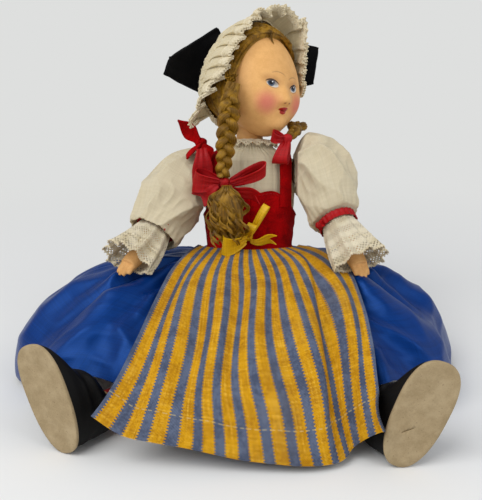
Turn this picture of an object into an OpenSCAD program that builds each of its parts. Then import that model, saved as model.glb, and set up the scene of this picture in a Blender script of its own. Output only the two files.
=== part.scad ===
// Felt doll in a folk dress, seated with its legs apart.
// Millimetres. The doll faces -Y, its left hand is on +X, and its seat rests on Z = 0.

/* [Body] */
// Height of the stuffed body from the seat to the neck
body_h = 138; // [130:1:150]
// Backward lean of the body and the neck, degrees
lean = 15; // [10:1:17]
// Width of the flat seat
seat_w = 60; // [54:1:66]
// Depth of the flat seat
seat_d = 44; // [40:1:50]
// Width of the hips
hip_w = 74; // [70:1:80]
// Depth of the hips
hip_d = 56; // [52:1:62]
// Height of the widest part of the hips
hip_z = 22; // [18:1:28]
// Width of the waist
waist_w = 48; // [44:1:52]
// Depth of the waist
waist_d = 33; // [30:1:36]
// Height of the waist
waist_z = 74; // [70:1:80]
// Width of the chest between the shoulder discs
chest_w = 55; // [52:1:60]
// Depth of the chest
chest_d = 37; // [34:1:40]
// Height of the shoulder joint
shoulder_z = 120; // [117:1:124]
// Width of the body where the neck starts
neck_w = 26; // [24:1:30]
// Depth of the body where the neck starts
neck_d = 21; // [19:1:24]

/* [Head] */
// Width of the head
head_w = 58; // [54:1:61]
// Depth of the head, without the nose
head_d = 58; // [54:1:62]
// Height of the crown above the middle of the head
crown_h = 41; // [38:1:43]
// Depth of the chin below the middle of the head
chin_h = 33; // [31:1:35]
// Depth of the nape below the middle of the head
nape_h = 21; // [19:1:23]
// Height of the middle of the head above the neck joint
head_rise = 32; // [31:1:36]
// How far the head sits to its left of the neck
head_side = 3; // [0:0.5:4]
// How far the head is turned to its left, degrees
head_turn = 38; // [0:1:60]
// Diameter of the neck
neck_dia = 18; // [16:1:19]
// Diameter of the wooden neck peg
peg_dia = 8; // [6:0.5:9]
// How far the neck peg reaches into the body
peg_len = 18; // [12:1:24]

/* [Hair and cap] */
// Thickness of the hair on the head
hair_t = 4.5; // [3:0.5:6]
// Thickness of the cap cloth
cap_t = 1.2; // [0.8:0.1:1.6]
// How far the cap is turned to the left, degrees
cap_turn = 34; // [0:1:50]
// How far the black wings are turned to the left, degrees
wing_turn = 22; // [0:1:50]
// Width of the cap's lace frill
frill_w = 16; // [12:1:18]
// Number of pleats in the cap's frill
frill_pleats = 15; // [9:1:18]
// Reach of a black wing from the middle of the head
wing_reach = 56; // [50:1:60]
// Height of a black wing at its root
wing_root_h = 50; // [40:1:54]
// Height of the right black wing at its tip
wing_tip_right = 11; // [8:1:16]
// Height of the left black wing at its tip
wing_tip_left = 25; // [20:1:30]
// Thickness of the black felt
wing_t = 2; // [1.5:0.1:3]
// Thickness of a braid
braid_dia = 13.5; // [12:0.5:15]

/* [Arms] */
// Diameter of the upper arm
arm_dia = 18; // [16:0.5:20]
// Diameter of the wrist
wrist_dia = 10.5; // [9:0.5:12]
// Diameter of a fibre joint disc
disc_dia = 17; // [14:1:19]
// Thickness of a fibre joint disc
disc_t = 1.5; // [1:0.1:2]
// Diameter of a shoulder pin
shoulder_pin_dia = 2.4; // [2:0.1:3]
// Diameter of a puffed sleeve
puff_dia = 39; // [32:1:41]
// Diameter of a sleeve at its gathered band
band_dia = 20; // [19:0.5:22]
// Diameter of a cuff frill at its edge
cuff_dia = 36; // [28:1:38]
// Thickness of the blouse cloth
blouse_t = 1; // [0.8:0.1:1.2]

/* [Legs and shoes] */
// Distance of each hip pin from the middle
hip_x = 19; // [18:0.5:20]
// Distance of the hip pins in front of the seat's middle
hip_fwd = 8; // [6:1:10]
// Length of a leg from its pin to the outside of the sole
leg_len = 128; // [122:1:132]
// Thickness of a thigh
thigh_dia = 27; // [25:0.5:28]
// Thickness of an ankle
ankle_dia = 19; // [17:0.5:21]
// Angle of the right leg from straight ahead, degrees
splay_right = 40; // [34:1:42]
// Angle of the left leg from straight ahead, degrees
splay_left = 28; // [22:1:32]
// How far each hip joint can swing either way, degrees
hip_swing = 8; // [4:1:9]
// Diameter of a hip pin
hip_pin_dia = 3; // [2.4:0.1:4]
// Length of a sole
sole_len = 61; // [56:1:64]
// Width of a sole at the ball of the foot
sole_w = 29; // [26:1:31]
// Thickness of a sole
sole_t = 2.2; // [1.5:0.1:3]
// How far the sole stands out round the upper
sole_proud = 0.8; // [0.4:0.1:1.2]
// Depth of a shoe from its sole to its rim
shoe_h = 30; // [26:1:34]
// Thickness of the shoe felt
shoe_t = 1.3; // [1:0.1:1.8]
// How far the toes lean outward, degrees
foot_roll = 20; // [12:1:24]
// How far the right foot turns in from its leg, degrees
foot_turn_right = 12; // [4:1:20]
// How far the left foot turns in from its leg, degrees
foot_turn_left = 24; // [10:1:28]

/* [Dress] */
// Thickness of the red felt
felt_t = 1.8; // [1.2:0.1:2.2]
// Height of the bodice above the waist at the front
bodice_h = 45; // [42:1:48]
// Width of a shoulder strap
strap_w = 7; // [6:0.5:8]
// Thickness of a shoulder strap
strap_t = 1.2; // [0.8:0.1:1.6]
// Reach of the spread skirt to its right
skirt_right = 144; // [138:1:150]
// Reach of the spread skirt to its left
skirt_left = 127; // [122:1:132]
// Reach of the skirt in front of the seat
skirt_front = 125; // [119:1:130]
// Reach of the skirt behind the seat
skirt_back = 92; // [84:1:100]
// Thickness of the skirt cloth
skirt_t = 1; // [0.8:0.1:1.2]
// Number of folds round the skirt
skirt_folds = 13; // [9:1:15]
// Depth of the skirt folds at the hem
fold_depth = 3.5; // [2:0.5:4.5]
// Height of the hem above the seat plane
hem_lift = 2; // [1.5:0.5:4]
// Thickness of the apron cloth
apron_t = 1; // [0.8:0.1:1.4]
// Reach of the apron to each side at the waist
apron_waist = 26; // [22:1:27]
// Reach of the apron to its right at the hem
apron_right = 80; // [72:1:84]
// Reach of the apron to its left at the hem
apron_left = 72; // [66:1:76]
// Thickness of the ribbons
ribbon_t = 0.8; // [0.6:0.1:1.2]

/* [Hidden] */

$fn = 48;
// Clearance between soft pieces and between moving faces
gap = 0.3;
// Radial clearance of a pin that turns in its bore
running_fit = 0.05;
// Overrun of a cutting solid past the face that it cuts
cut = 1;

// Shaping functions
function mix(a, b, t) = a + (b - a) * t;
function ease(t) = (1 - cos(180 * min(1, max(0, t)))) / 2;
function unit(v) = v / norm(v);
function clamp(v, low, high) = max(low, min(high, v));
function span(z, list, i = 0) = i >= len(list) - 2 || z < list[i + 1][0] ? i : span(z, list, i + 1);
// Value k of a list of stations, eased from one station to the next
function eased(z, list, k) =
    let(i = span(z, list), t = (z - list[i][0]) / (list[i + 1][0] - list[i][0]))
    mix(list[i][k], list[i + 1][k], ease(t));
// A point on a cubic curve through its two end points
function bezier(p, t) =
    pow(1 - t, 3) * p[0] + 3 * t * pow(1 - t, 2) * p[1] + 3 * t * t * (1 - t) * p[2] + t * t * t * p[3];

// Faces of a grid of rows and columns, clockwise from outside
function grid_faces(rows, cols, start, wrap, flip) = [
    for (i = [0:rows - 2], j = [0:wrap ? cols - 1 : cols - 2])
        let(a = start + i * cols + j, b = start + i * cols + (j + 1) % cols, c = a + cols, d = b + cols)
        each flip ? [[a, d, b], [a, c, d]] : [[a, b, d], [a, d, c]]
];

// A closed solid skinned over rings that run anticlockwise about the way of travel
module loft(rings) {
    n = len(rings[0]);
    m = len(rings);
    middle = function (ring) [for (k = [0:2]) [for (p = ring) p[k]] * [for (p = ring) 1 / n]];
    points = [for (ring = rings) each ring, middle(rings[0]), middle(rings[m - 1])];
    foot = [for (j = [0:n - 1]) [m * n, j, (j + 1) % n]];
    top = [for (j = [0:n - 1]) [m * n + 1, (m - 1) * n + (j + 1) % n, (m - 1) * n + j]];
    polyhedron(points, concat(grid_faces(m, n, 0, true, true), foot, top));
}

// A sheet of cloth of thickness t about a grid of points; wrap joins its last column to its first
module sheet(grid, t, wrap = false) {
    rows = len(grid);
    cols = len(grid[0]);
    size = rows * cols;
    normal = function (i, j)
        let(down = grid[min(i + 1, rows - 1)][j] - grid[max(i - 1, 0)][j],
            right = wrap ? (j + 1) % cols : min(j + 1, cols - 1),
            left = wrap ? (j + cols - 1) % cols : max(j - 1, 0))
        unit(cross(down, grid[i][right] - grid[i][left]));
    offset_by = function (h) [for (i = [0:rows - 1], j = [0:cols - 1]) grid[i][j] + h * normal(i, j)];
    last_col = wrap ? cols - 1 : cols - 2;
    near = [for (j = [0:last_col]) let(b = (j + 1) % cols) each
        [[b, j, size + j], [b, size + j, size + b]]];
    far = [for (j = [0:last_col]) let(end = (rows - 1) * cols, c = end + j, d = end + (j + 1) % cols) each
        [[c, d, size + d], [c, size + d, size + c]]];
    low = [for (i = [0:rows - 2]) let(a = i * cols, c = a + cols) each
        [[a, c, size + c], [a, size + c, size + a]]];
    high = [for (i = [0:rows - 2]) let(b = (i + 1) * cols - 1, d = b + cols) each
        [[d, b, size + b], [d, size + b, size + d]]];
    edges = wrap ? concat(near, far) : concat(near, far, low, high);
    polyhedron(concat(offset_by(t / 2), offset_by(-t / 2)),
        concat(grid_faces(rows, cols, 0, wrap, false), grid_faces(rows, cols, size, wrap, true), edges));
}

// Ring of n points about p, square to the direction along, with half sizes a and b
function ring_about(p, along, side_way, a, b, n) =
    let(w = unit(along), u = unit(side_way - (side_way * w) * w), v = cross(w, u))
    [for (j = [0:n - 1]) p + a * cos(360 * j / n) * u + b * sin(360 * j / n) * v];

// Rings along a list of points, with a radius for each point
function tube_rings(path, radii, n, side_way = [1, 0, 0]) = [
    for (i = [0:len(path) - 1])
        ring_about(path[i], path[min(i + 1, len(path) - 1)] - path[max(i - 1, 0)], side_way,
            radii[i], radii[i], n)
];

// Mirrors the left side's shapes for the right side
module on_side(side) {
    if (side < 0) mirror([1, 0, 0]) children();
    else children();
}

// Body
shoulder_slope = 7;
shoulder_swell = 1;
body_stations = [
    [0, seat_w / 2, seat_d / 2],
    [hip_z, hip_w / 2, hip_d / 2],
    [waist_z, waist_w / 2, waist_d / 2],
    [shoulder_z - shoulder_slope, chest_w / 2 + shoulder_swell, chest_d / 2],
    [shoulder_z + shoulder_slope, chest_w / 2, chest_d / 2 - shoulder_swell],
    [body_h, neck_w / 2, neck_d / 2]
];
body_sides = 28;
body_rows = 15;
function body_y(z) = tan(lean) * z * ease(z / waist_z);
function body_tilt(z) = lean * ease(z / waist_z);
// A point on the body at height z and turn phi, standing off the surface
function body_point(z, phi, off = 0) =
    let(a = eased(z, body_stations, 1) + off, b = eased(z, body_stations, 2) + off, t = body_tilt(z),
        side = chest_w / 2 + off, x = a * cos(phi))
    [z > waist_z ? clamp(x, -side, side) : x, body_y(z) + b * sin(phi) * cos(t), z - b * sin(phi) * sin(t)];
// Height of row i of the body, which the blouse follows
function body_row(i) = body_h * i / body_rows;
shoulder_y = body_y(shoulder_z);
neck_joint = [0, body_y(body_h), body_h];

// Stack of each shoulder joint, outward from the flat side of the chest
body_disc_x = chest_w / 2;
arm_disc_x = body_disc_x + disc_t + gap;
arm_x = arm_disc_x + disc_t;
shoulder_pin_depth = 14;
shoulder_pin_hold = 10;
pin_head_dia = 2.4 * shoulder_pin_dia;
pin_head_t = 1;

// Hips: each thigh turns on an upright pin in a pocket that is open to the front
leg_lift = 0.4;
pocket_r = thigh_dia / 2 + gap;
thigh_top = leg_lift + thigh_dia;
hip_disc_z = thigh_top + gap;
pocket_top = hip_disc_z + disc_t;
hip_pin_low = 8;
hip_pin_rise = 12;
function splay(side) = side < 0 ? splay_right : splay_left;
function foot_turn(side) = side < 0 ? foot_turn_right : foot_turn_left;

module at_hip(side) {
    on_side(side) translate([hip_x, -hip_fwd, 0]) rotate([0, 0, splay(side)]) children();
}

module hip_pocket(side) {
    reach = hip_d;
    spread = pocket_r + reach * tan(hip_swing);
    at_hip(side) {
        translate([0, 0, -cut]) cylinder(h = pocket_top + cut, r = pocket_r);
        translate([0, 0, -cut]) linear_extrude(pocket_top + cut)
            polygon([[pocket_r, 0], [-pocket_r, 0], [-spread, -reach], [spread, -reach]]);
        cylinder(h = pocket_top + hip_pin_rise + gap, d = hip_pin_dia + 2 * running_fit);
    }
}

module shoulder_axis(side) {
    on_side(side) translate([0, shoulder_y, shoulder_z]) rotate([0, 90, 0]) children();
}

module at_neck() {
    translate(neck_joint) rotate([-lean, 0, 0]) children();
}

module torso() {
    color("bisque") difference() {
        loft([for (i = [0:body_rows]) let(z = i == 0 ? -cut : body_row(i))
            [for (j = [0:body_sides - 1]) body_point(z, 360 * j / body_sides)]]);
        translate([-hip_w, -hip_d, -2 * cut]) cube([2 * hip_w, 2 * hip_d, 2 * cut]);
        for (side = [-1, 1]) {
            hip_pocket(side);
            shoulder_axis(side) translate([0, 0, body_disc_x - shoulder_pin_depth - gap])
                cylinder(h = shoulder_pin_depth + gap + cut, d = shoulder_pin_dia + 2 * running_fit);
        }
        at_neck() translate([0, 0, -peg_len - gap])
            cylinder(h = peg_len + gap + cut, d = peg_dia + 2 * running_fit);
    }
}

module shoulder_discs() {
    color("saddlebrown") for (side = [-1, 1]) shoulder_axis(side) difference() {
        translate([0, 0, body_disc_x]) cylinder(h = disc_t, d = disc_dia);
        translate([0, 0, body_disc_x - cut])
            cylinder(h = disc_t + 2 * cut, d = shoulder_pin_dia + 2 * running_fit);
    }
}

module hip_discs() {
    color("saddlebrown") for (side = [-1, 1]) at_hip(side) translate([0, 0, hip_disc_z]) difference() {
        cylinder(h = disc_t, d = disc_dia);
        translate([0, 0, -cut]) cylinder(h = disc_t + 2 * cut, d = hip_pin_dia + 2 * running_fit);
    }
}

// Upper clothing, layer on layer over the body
blouse_in = 1.5 * gap;
blouse_off = blouse_in + blouse_t / 2;
blouse_out = blouse_in + blouse_t;
bodice_off = blouse_out + gap + felt_t / 2;
bodice_out = blouse_out + gap + felt_t;
strap_off = bodice_out + gap + strap_t / 2;
cloth_sides = body_sides;
neck_edge = 1.5;
bodice_rows = 5;
bodice_side_drop = 24;
bodice_side_round = 1.5;
bodice_notch = 12;
bodice_notch_sharp = 12;
bodice_foot = 2;

module blouse() {
    low = floor(body_rows * skirt_top / body_h);
    color("ivory") difference() {
        sheet([for (i = [low:body_rows]) [for (j = [0:cloth_sides - 1])
            body_point(body_row(i), 360 * j / cloth_sides, blouse_off)]], blouse_t, true);
        for (side = [-1, 1]) shoulder_axis(side) translate([0, 0, body_disc_x - cut])
            cylinder(h = 4 * cut, d = disc_dia + 2 * gap);
    }
}

// Upper edge of the bodice: cut low under the arms and dipped at the middle of the front
function bodice_top(phi) =
    let(front = max(0, -sin(phi)), side_drop = bodice_side_drop * pow(abs(cos(phi)), bodice_side_round),
        dip = bodice_notch * pow(front, bodice_notch_sharp))
    waist_z + bodice_h - side_drop - dip;

module bodice() {
    low = waist_z + bodice_foot;
    color("firebrick") sheet([for (i = [0:bodice_rows]) [for (j = [0:cloth_sides - 1])
        let(phi = 360 * j / cloth_sides)
        body_point(mix(low, bodice_top(phi), i / bodice_rows), phi, bodice_off)]], felt_t, true);
}

strap_x = 19;
strap_tuck = 7;
strap_rows = 6;
module strap(side) {
    low = waist_z + bodice_h - strap_tuck;
    high = body_h - neck_edge;
    color("firebrick") intersection() {
        sheet([for (i = [0:strap_rows]) [for (j = [0:cloth_sides - 1])
            body_point(mix(low, high, i / strap_rows), 360 * j / cloth_sides, strap_off)]], strap_t, true);
        on_side(side) translate([strap_x, -body_h, 0]) cube([strap_w, 2 * body_h, 2 * body_h]);
    }
}

collar_w = 9;
collar_pleats = 16;
collar_t = 0.8;
collar_cols = 48;
collar_ruffle = 0.8;
collar_rise = collar_ruffle + 2.5 * collar_t;
collar_droop = 3;
module collar_frill() {
    rows = 2;
    inner = neck_dia / 2 + 2 * collar_t;
    color("ivory") at_neck() sheet([for (i = [0:rows]) [for (j = [0:collar_cols - 1])
        let(t = i / rows, phi = 360 * j / collar_cols, wave = collar_ruffle * t * sin(collar_pleats * phi),
            a = mix(inner, (neck_w + collar_w) / 2, t), b = mix(inner, (neck_d + collar_w) / 2, t))
        [a * cos(phi), b * sin(phi), collar_rise - collar_droop * t * t + wave]]], collar_t, true);
}

// Skirt, petticoat and apron: a domed spread from the waist to the hem, lifted over each leg
skirt_rows = 8;
skirt_cols = 56;
skirt_waist_off = blouse_out + 1.5 * gap + skirt_t / 2;
skirt_drop = 3;
skirt_top = waist_z - skirt_drop;
front_dome = [[0, 1], [0.42, 0.86], [1.04, 0.68], [1, 0.02]];
side_dome = [[0, 1], [0.42, 0.97], [1.04, 0.76], [1, 0.02]];
leg_lift_share = 0.3;
leg_flat_angle = 6;
leg_fall_angle = 22;
leg_sag = 5;
fold_growth = 1.6;
fold_drift_angle = 40;
fold_lean = 0.6;
waist_y = body_y(waist_z);
function skirt_reach(side) = side < 0 ? skirt_right : skirt_left;
function leg_phi(side) =
    let(reach = leg_len - shoe_h - sole_t, x = hip_x + reach * sin(splay(side)),
        y = hip_fwd + reach * cos(splay(side)), phi = atan2(y / skirt_front, x / skirt_reach(side)))
    side < 0 ? 180 + phi : 360 - phi;
function over_leg(phi) = max([for (side = [-1, 1])
    ease(1 - max(0, abs(phi - leg_phi(side)) - leg_flat_angle) / leg_fall_angle)]);
function hem_share(phi) = 1 - leg_lift_share * over_leg(phi);
// A point on the skirt at share s of the way down, turn phi, standing off by off
function skirt_point(s, phi, off = 0, folds = 1) =
    let(at = (phi + 720) % 360, d = bezier(mix(front_dome, side_dome, abs(cos(at))), s * hem_share(at)),
        crest = folds * fold_depth * pow(s, fold_growth),
        wave = crest * cos(skirt_folds * at + fold_drift_angle * sin(2 * at)),
        waist_a = waist_w / 2 + skirt_waist_off, waist_b = (waist_d / 2 + skirt_waist_off) * sin(at),
        waist = [waist_a * cos(at), waist_y + waist_b], reach = at > 180 ? skirt_front : skirt_back,
        hem = [skirt_reach(cos(at)) * cos(at), reach * sin(at)], plan = mix(waist, hem, d[0]),
        out = unit(hem) * fold_lean, top = skirt_top - waist_b * sin(body_tilt(waist_z)),
        z = mix(hem_lift, top, d[1]) - leg_sag * over_leg(at) * s * s)
    [plan[0] + (off + wave) * out[0], plan[1] + (off + wave) * out[1],
        z + off * (1 - s / 2) + wave * fold_lean * (1 - s)];

module skirt() {
    color("royalblue") sheet([for (i = [0:skirt_rows]) [for (j = [0:skirt_cols - 1])
        skirt_point(i / skirt_rows, 360 * j / skirt_cols)]], skirt_t, true);
}

petticoat_rows = 4;
petticoat_cols = 44;
petticoat_seat = skirt_t + 2 * gap;
petticoat_inset = 6.5;
petticoat_start = 0.1;
petticoat_folds = 0.4;
module petticoat() {
    color("white") sheet([for (i = [0:petticoat_rows]) [for (j = [0:petticoat_cols - 1])
        skirt_point(mix(petticoat_start, 1, i / petticoat_rows), 360 * j / petticoat_cols,
            -mix(petticoat_seat, petticoat_inset, i / petticoat_rows), petticoat_folds)]], skirt_t, true);
}

apron_rows = 9;
apron_cols = 18;
apron_off = 2.6;
apron_folds = 5;
apron_fold_depth = 1.6;
apron_start = 0.02;
module apron() {
    color("goldenrod") sheet([for (i = [0:apron_rows]) [for (j = [0:apron_cols])
        let(s = i / apron_rows, u = 2 * j / apron_cols - 1,
            half = mix(apron_waist, u < 0 ? apron_right : apron_left, s),
            full = mix(waist_w / 2 + skirt_waist_off, skirt_reach(u), bezier(front_dome, s)[0]),
            wave = apron_fold_depth * s * (1 + cos(360 * apron_folds * (u + 1) / 2)))
        skirt_point(mix(apron_start, 1, s), 270 + asin(u * half / full), apron_off + wave)]], apron_t);
}

// Head, star-shaped about its middle, in a frame whose face looks along -Y
head_middle = [head_side, 0, head_rise];
nose_out = 5;
nose_way = [0, -1, -0.2];
nose_angle = 9;
cheek_out = 2.2;
cheek_way = [0.55, -1, -0.38];
cheek_angle = 18;
chin_out = 4;
chin_way = [0, -1, -0.95];
chin_angle = 14;
chin_start = 0.3;
eye_in = 1.2;
eye_way = [0.36, -1, 0.06];
eye_angle = 12;
jaw_taper = 0.17;
// Bump of height h round the direction way, with a spread in degrees
function bump(d, way, h, spread) = h * exp(-pow(acos(clamp(d * unit(way), -1, 1)) / spread, 2));
function head_radius(d) =
    let(half_h = d.z > 0 ? crown_h : mix(nape_h, chin_h, ease(chin_start - d.y)),
        taper = jaw_taper * ease(-d.z), half_w = head_w / 2 * (1 - taper),
        half_d = head_d / 2 * (1 - taper / 2), right = [abs(d.x), d.y, d.z])
    1 / norm([d.x / half_w, d.y / half_d, d.z / half_h]) + bump(d, nose_way, nose_out, nose_angle)
        + bump(right, cheek_way, cheek_out, cheek_angle) + bump(d, chin_way, chin_out, chin_angle)
        - bump(right, eye_way, eye_in, eye_angle);

module at_head() {
    at_neck() translate(head_middle) rotate([0, 0, head_turn]) children();
}

head_sides = 32;
head_rows = 18;
pole = 4;
neck_bury = 14;
module head() {
    color("burlywood") difference() {
        union() {
            at_head() loft([for (i = [0:head_rows]) let(el = mix(-90 + pole, 90 - pole, i / head_rows))
                [for (j = [0:head_sides - 1]) let(az = 360 * j / head_sides,
                    d = [cos(el) * cos(az), cos(el) * sin(az), sin(el)]) d * head_radius(d)]]);
            at_neck() translate([0, 0, gap]) cylinder(h = neck_bury, d = neck_dia);
        }
        at_neck() cylinder(h = peg_len, d = peg_dia);
    }
}

module neck_peg() {
    color("tan") at_neck() translate([0, 0, -peg_len]) cylinder(h = 2 * peg_len, d = peg_dia);
}

// Direction at angle beta from the face axis and gamma round it, with the axis turned by turn
function face_way(beta, gamma, turn = 0) =
    let(x = sin(beta) * cos(gamma), y = -cos(beta))
    [x * cos(turn) - y * sin(turn), x * sin(turn) + y * cos(turn), sin(beta) * sin(gamma)];

hair_rows = 8;
hair_cols = 28;
hairline_side = 64;
hairline_top = 63;
hair_back = 179;
hair_foot = -17;
cap_edge_top = 82;
cap_edge_side = 102;
cap_foot = -23;
cap_rows = 6;
hair_in = 3 * gap;
hair_out = hair_in + hair_t;
cap_in = hair_out + 3 * gap;
cap_mid = cap_in + cap_t / 2;
cap_out = cap_in + cap_t;
cap_skew = cap_turn - head_turn;
wing_skew = wing_turn - head_turn;

// Keeps what lies above a height of the head's own frame
module above(z) {
    size = 4 * head_d;
    intersection() {
        children();
        translate([-size / 2, -size / 2, z]) cube([size, size, size]);
    }
}

module hair() {
    color("darkgoldenrod") at_head() above(hair_foot) sheet([for (i = [0:hair_rows])
        [for (j = [0:hair_cols - 1]) let(gamma = 360 * j / hair_cols,
            edge = mix(hairline_side, hairline_top, max(0, sin(gamma))),
            d = face_way(mix(edge, hair_back, i / hair_rows), gamma))
            d * (head_radius(d) + hair_in + hair_t / 2)]], hair_t, true);
}

function cap_edge(gamma) = mix(cap_edge_side, cap_edge_top, max(0, sin(gamma)));

module cap() {
    color("cornsilk") at_head() above(cap_foot) sheet([for (i = [0:cap_rows])
        [for (j = [0:hair_cols - 1]) let(gamma = 360 * j / hair_cols,
            d = face_way(mix(cap_edge(gamma), hair_back, i / cap_rows), gamma, cap_skew))
            d * (head_radius(d) + cap_mid)]], cap_t, true);
}

frill_t = 0.9;
frill_start_angle = 0;
frill_sweep_angle = 214;
frill_least = 0.4;
frill_wave_angle = 2.4;
frill_lean_angle = 29;
frill_root_share = 0.3;
frill_full_angle = 80;
// The frill stands up above the forehead and at its lower end
frill_front_share = 0.8;
frill_front_angle = 65;
frill_spread_angle = 36;
frill_end_share = 0.4;
frill_end_angle = 180;
function frill_rise(gamma) = frill_front_share * exp(-pow((gamma - frill_front_angle) / frill_spread_angle, 2))
    + frill_end_share * ease((gamma - frill_end_angle) / (frill_sweep_angle - frill_end_angle));
module cap_frill() {
    rows = 2;
    cols = 5 * frill_pleats;
    color("cornsilk") at_head() sheet([for (i = [0:rows]) [for (j = [0:cols])
        let(t = i / rows, gamma = frill_start_angle + frill_sweep_angle * j / cols,
            wave = frill_wave_angle * mix(frill_root_share, 1, t) * sin(360 * frill_pleats * j / cols),
            wide = frill_w * mix(frill_least, 1, ease(gamma / frill_full_angle)),
            d = face_way(cap_edge(gamma) - frill_lean_angle * wide / frill_w * t + wave, gamma, cap_skew))
        d * (head_radius(d) + cap_out + gap + frill_t + frill_rise(gamma) * wide * pow(t, 0.8))]], frill_t);
}

// Black wings behind the head, swept from a knot at the back of the cap
knot_w = 12;
knot_h = 20;
knot_d = 8;
wing_z = 27;
wing_droop = 10;
wing_sweep = 20;
wing_pinch = 0.45;
wing_belly = 2.5;
wing_tuck = 4.4;
wing_back = head_d / 2 + cap_out + gap + knot_d / 2 - wing_tuck;
module at_wings() {
    at_head() rotate([0, 0, wing_skew]) children();
}

module wing(side) {
    rows = 6;
    cols = 6;
    tip_h = side < 0 ? wing_tip_right : wing_tip_left;
    color("black") at_wings() on_side(side) sheet([for (i = [0:rows]) [for (j = [0:cols])
        let(t = i / rows, v = 2 * j / cols - 1, h = mix(wing_root_h, tip_h, t) / 2,
            pinch = mix(wing_pinch, 1, ease(3 * t)), bow = wing_belly * (1 - v * v) * sin(180 * t))
        [mix(knot_w / 2 + gap, wing_reach, t), wing_back - wing_sweep * pow(t, 1.8) + bow,
            wing_z - wing_droop * t + h * v * pinch]]], wing_t);
}

module wing_knot() {
    color("black") at_wings() translate([0, wing_back, wing_z])
        pebble([knot_w / 2 - gap, knot_d / 2, knot_h / 2], 6, 16);
}

// Braids: routes chosen by hand from the neck joint, from the temple down to the ribbon
from_neck_right = [[-10, -26, 42], [-12, -28.5, 34], [-13, -32, 24], [-14, -35, 14], [-15, -36, 4],
    [-16, -35, -5], [-17, -34, -13]];
from_neck_left = [[31.5, 12, 10.4], [29.5, 2, 10.2], [28.5, -9, 9.8], [24, -17, 8]];
braid_route_right = [for (p = from_neck_right) neck_joint + p];
braid_route_left = [for (p = from_neck_left) neck_joint + p];
braid_lump = 0.09;
lumps_per_point = 2;
braid_sides = 10;
braid_root = 0.55;
braid_tip = 0.72;
braid_taper = 0.55;
left_braid_share = 0.5;

function along(route, t) =
    let(i = min(floor(t), len(route) - 2), f = t - i, a = route[max(i - 1, 0)], b = route[i],
        c = route[i + 1], d = route[min(i + 2, len(route) - 1)])
    b + (c - a) * f / 2 + (2 * a - 5 * b + 4 * c - d) * f * f / 2 + (3 * b - a - 3 * c + d) * f * f * f / 2;

module braid(route, dia) {
    steps = 3 * (len(route) - 1);
    path = [for (i = [0:steps]) along(route, i * (len(route) - 1) / steps)];
    radii = [for (i = [0:steps]) let(t = i / steps, root = mix(braid_root, 1, ease(4 * t)),
        tip = mix(1, braid_tip, ease((t - braid_taper) / (1 - braid_taper))))
        dia / 2 * root * tip * (1 + braid_lump * cos(180 * lumps_per_point * i))];
    color("goldenrod") loft(tube_rings(path, radii, braid_sides));
}

module braid_right() {
    braid(braid_route_right, braid_dia);
}

module braid_left() {
    braid(braid_route_left, left_braid_share * braid_dia);
}

// Ribbons: their loops stay a little open at the knot and are pinched there
loop_open = 0.055;
ribbon_pinch = 0.55;
tail_wave = 1.5;
pebble_end_angle = 12;

// A rounded pebble with the half sizes of half
module pebble(half, rows, cols) {
    loft([for (i = [0:rows]) let(el = mix(pebble_end_angle - 90, 90 - pebble_end_angle, i / rows))
        [for (j = [0:cols - 1]) let(az = 360 * j / cols)
            [half.x * cos(el) * cos(az), half.y * cos(el) * sin(az), half.z * sin(el)]]]);
}

// A ribbon loop that leaves and comes back to its knot along the direction way
module ribbon_loop(from, way, across, length, width, fat) {
    steps = 12;
    w = unit(way);
    side_way = unit(cross(w, across));
    a = unit(across);
    sheet([for (i = [0:steps]) let(t = i / steps, turn = mix(loop_open, 1 - loop_open, t),
        root = sin(180 * loop_open), reach = length * (sin(180 * turn) - root) / (1 - root),
        swing = fat * sin(360 * turn),
        half = width / 2 * mix(ribbon_pinch, 1, sin(180 * t)))
        [for (e = [-1, 0, 1]) from + reach * w + swing * side_way + e * half * a]], ribbon_t);
}

// A ribbon tail, with a slight wave
module ribbon_tail(from, to, across, width) {
    steps = 5;
    side_way = unit(cross(to - from, across));
    sheet([for (i = [0:steps]) let(t = i / steps, half = width / 2 * mix(ribbon_pinch, 1, t))
        [for (e = [-1, 0, 1])
            mix(from, to, t) + tail_wave * sin(360 * t) * side_way + e * half * unit(across)]], ribbon_t);
}

module knot(at, r) {
    translate(at) pebble([r, 0.8 * r, 0.9 * r], 5, 12);
}

braid_knot = braid_route_right[6] + [1, 0, -4.4];
knot_r = 4;
bow_ribbon_w = 8;
module braid_bow_right() {
    start = knot_r + ribbon_t;
    color("crimson") {
        knot(braid_knot, knot_r);
        ribbon_loop(braid_knot + [start, -0.5, -1], [1, -0.15, 0.45], [0, -0.5, 1], 22, bow_ribbon_w, 2.6);
        ribbon_loop(braid_knot + [-3.2, -3.8, 0], [-0.5, -0.6, 0.7], [0.4, -0.5, 0.3], 15, bow_ribbon_w, 2);
        ribbon_tail(braid_knot + [3.4, -1.6, -2.8], braid_knot + [21, -4, -9], [0, -0.5, 1], bow_ribbon_w);
        ribbon_tail(braid_knot + [-3, -2, -2.6], braid_knot + [-9, -2, -13], [1, -0.5, 0.6], bow_ribbon_w);
    }
}

left_knot = braid_route_left[3] + [-1, -2.8, -0.8];
left_knot_r = 3.2;
module braid_bow_left() {
    start = left_knot_r + ribbon_t;
    color("crimson") {
        knot(left_knot, left_knot_r);
        ribbon_loop(left_knot + [-start, 0, 1], [-0.8, 0, 0.7], [0.6, -0.4, 0.7], 7, 6, 2);
        ribbon_loop(left_knot + [0, -1, -start], [-0.2, -0.3, -1], [1, -0.3, 0], 12, 7, 2);
    }
}

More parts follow.
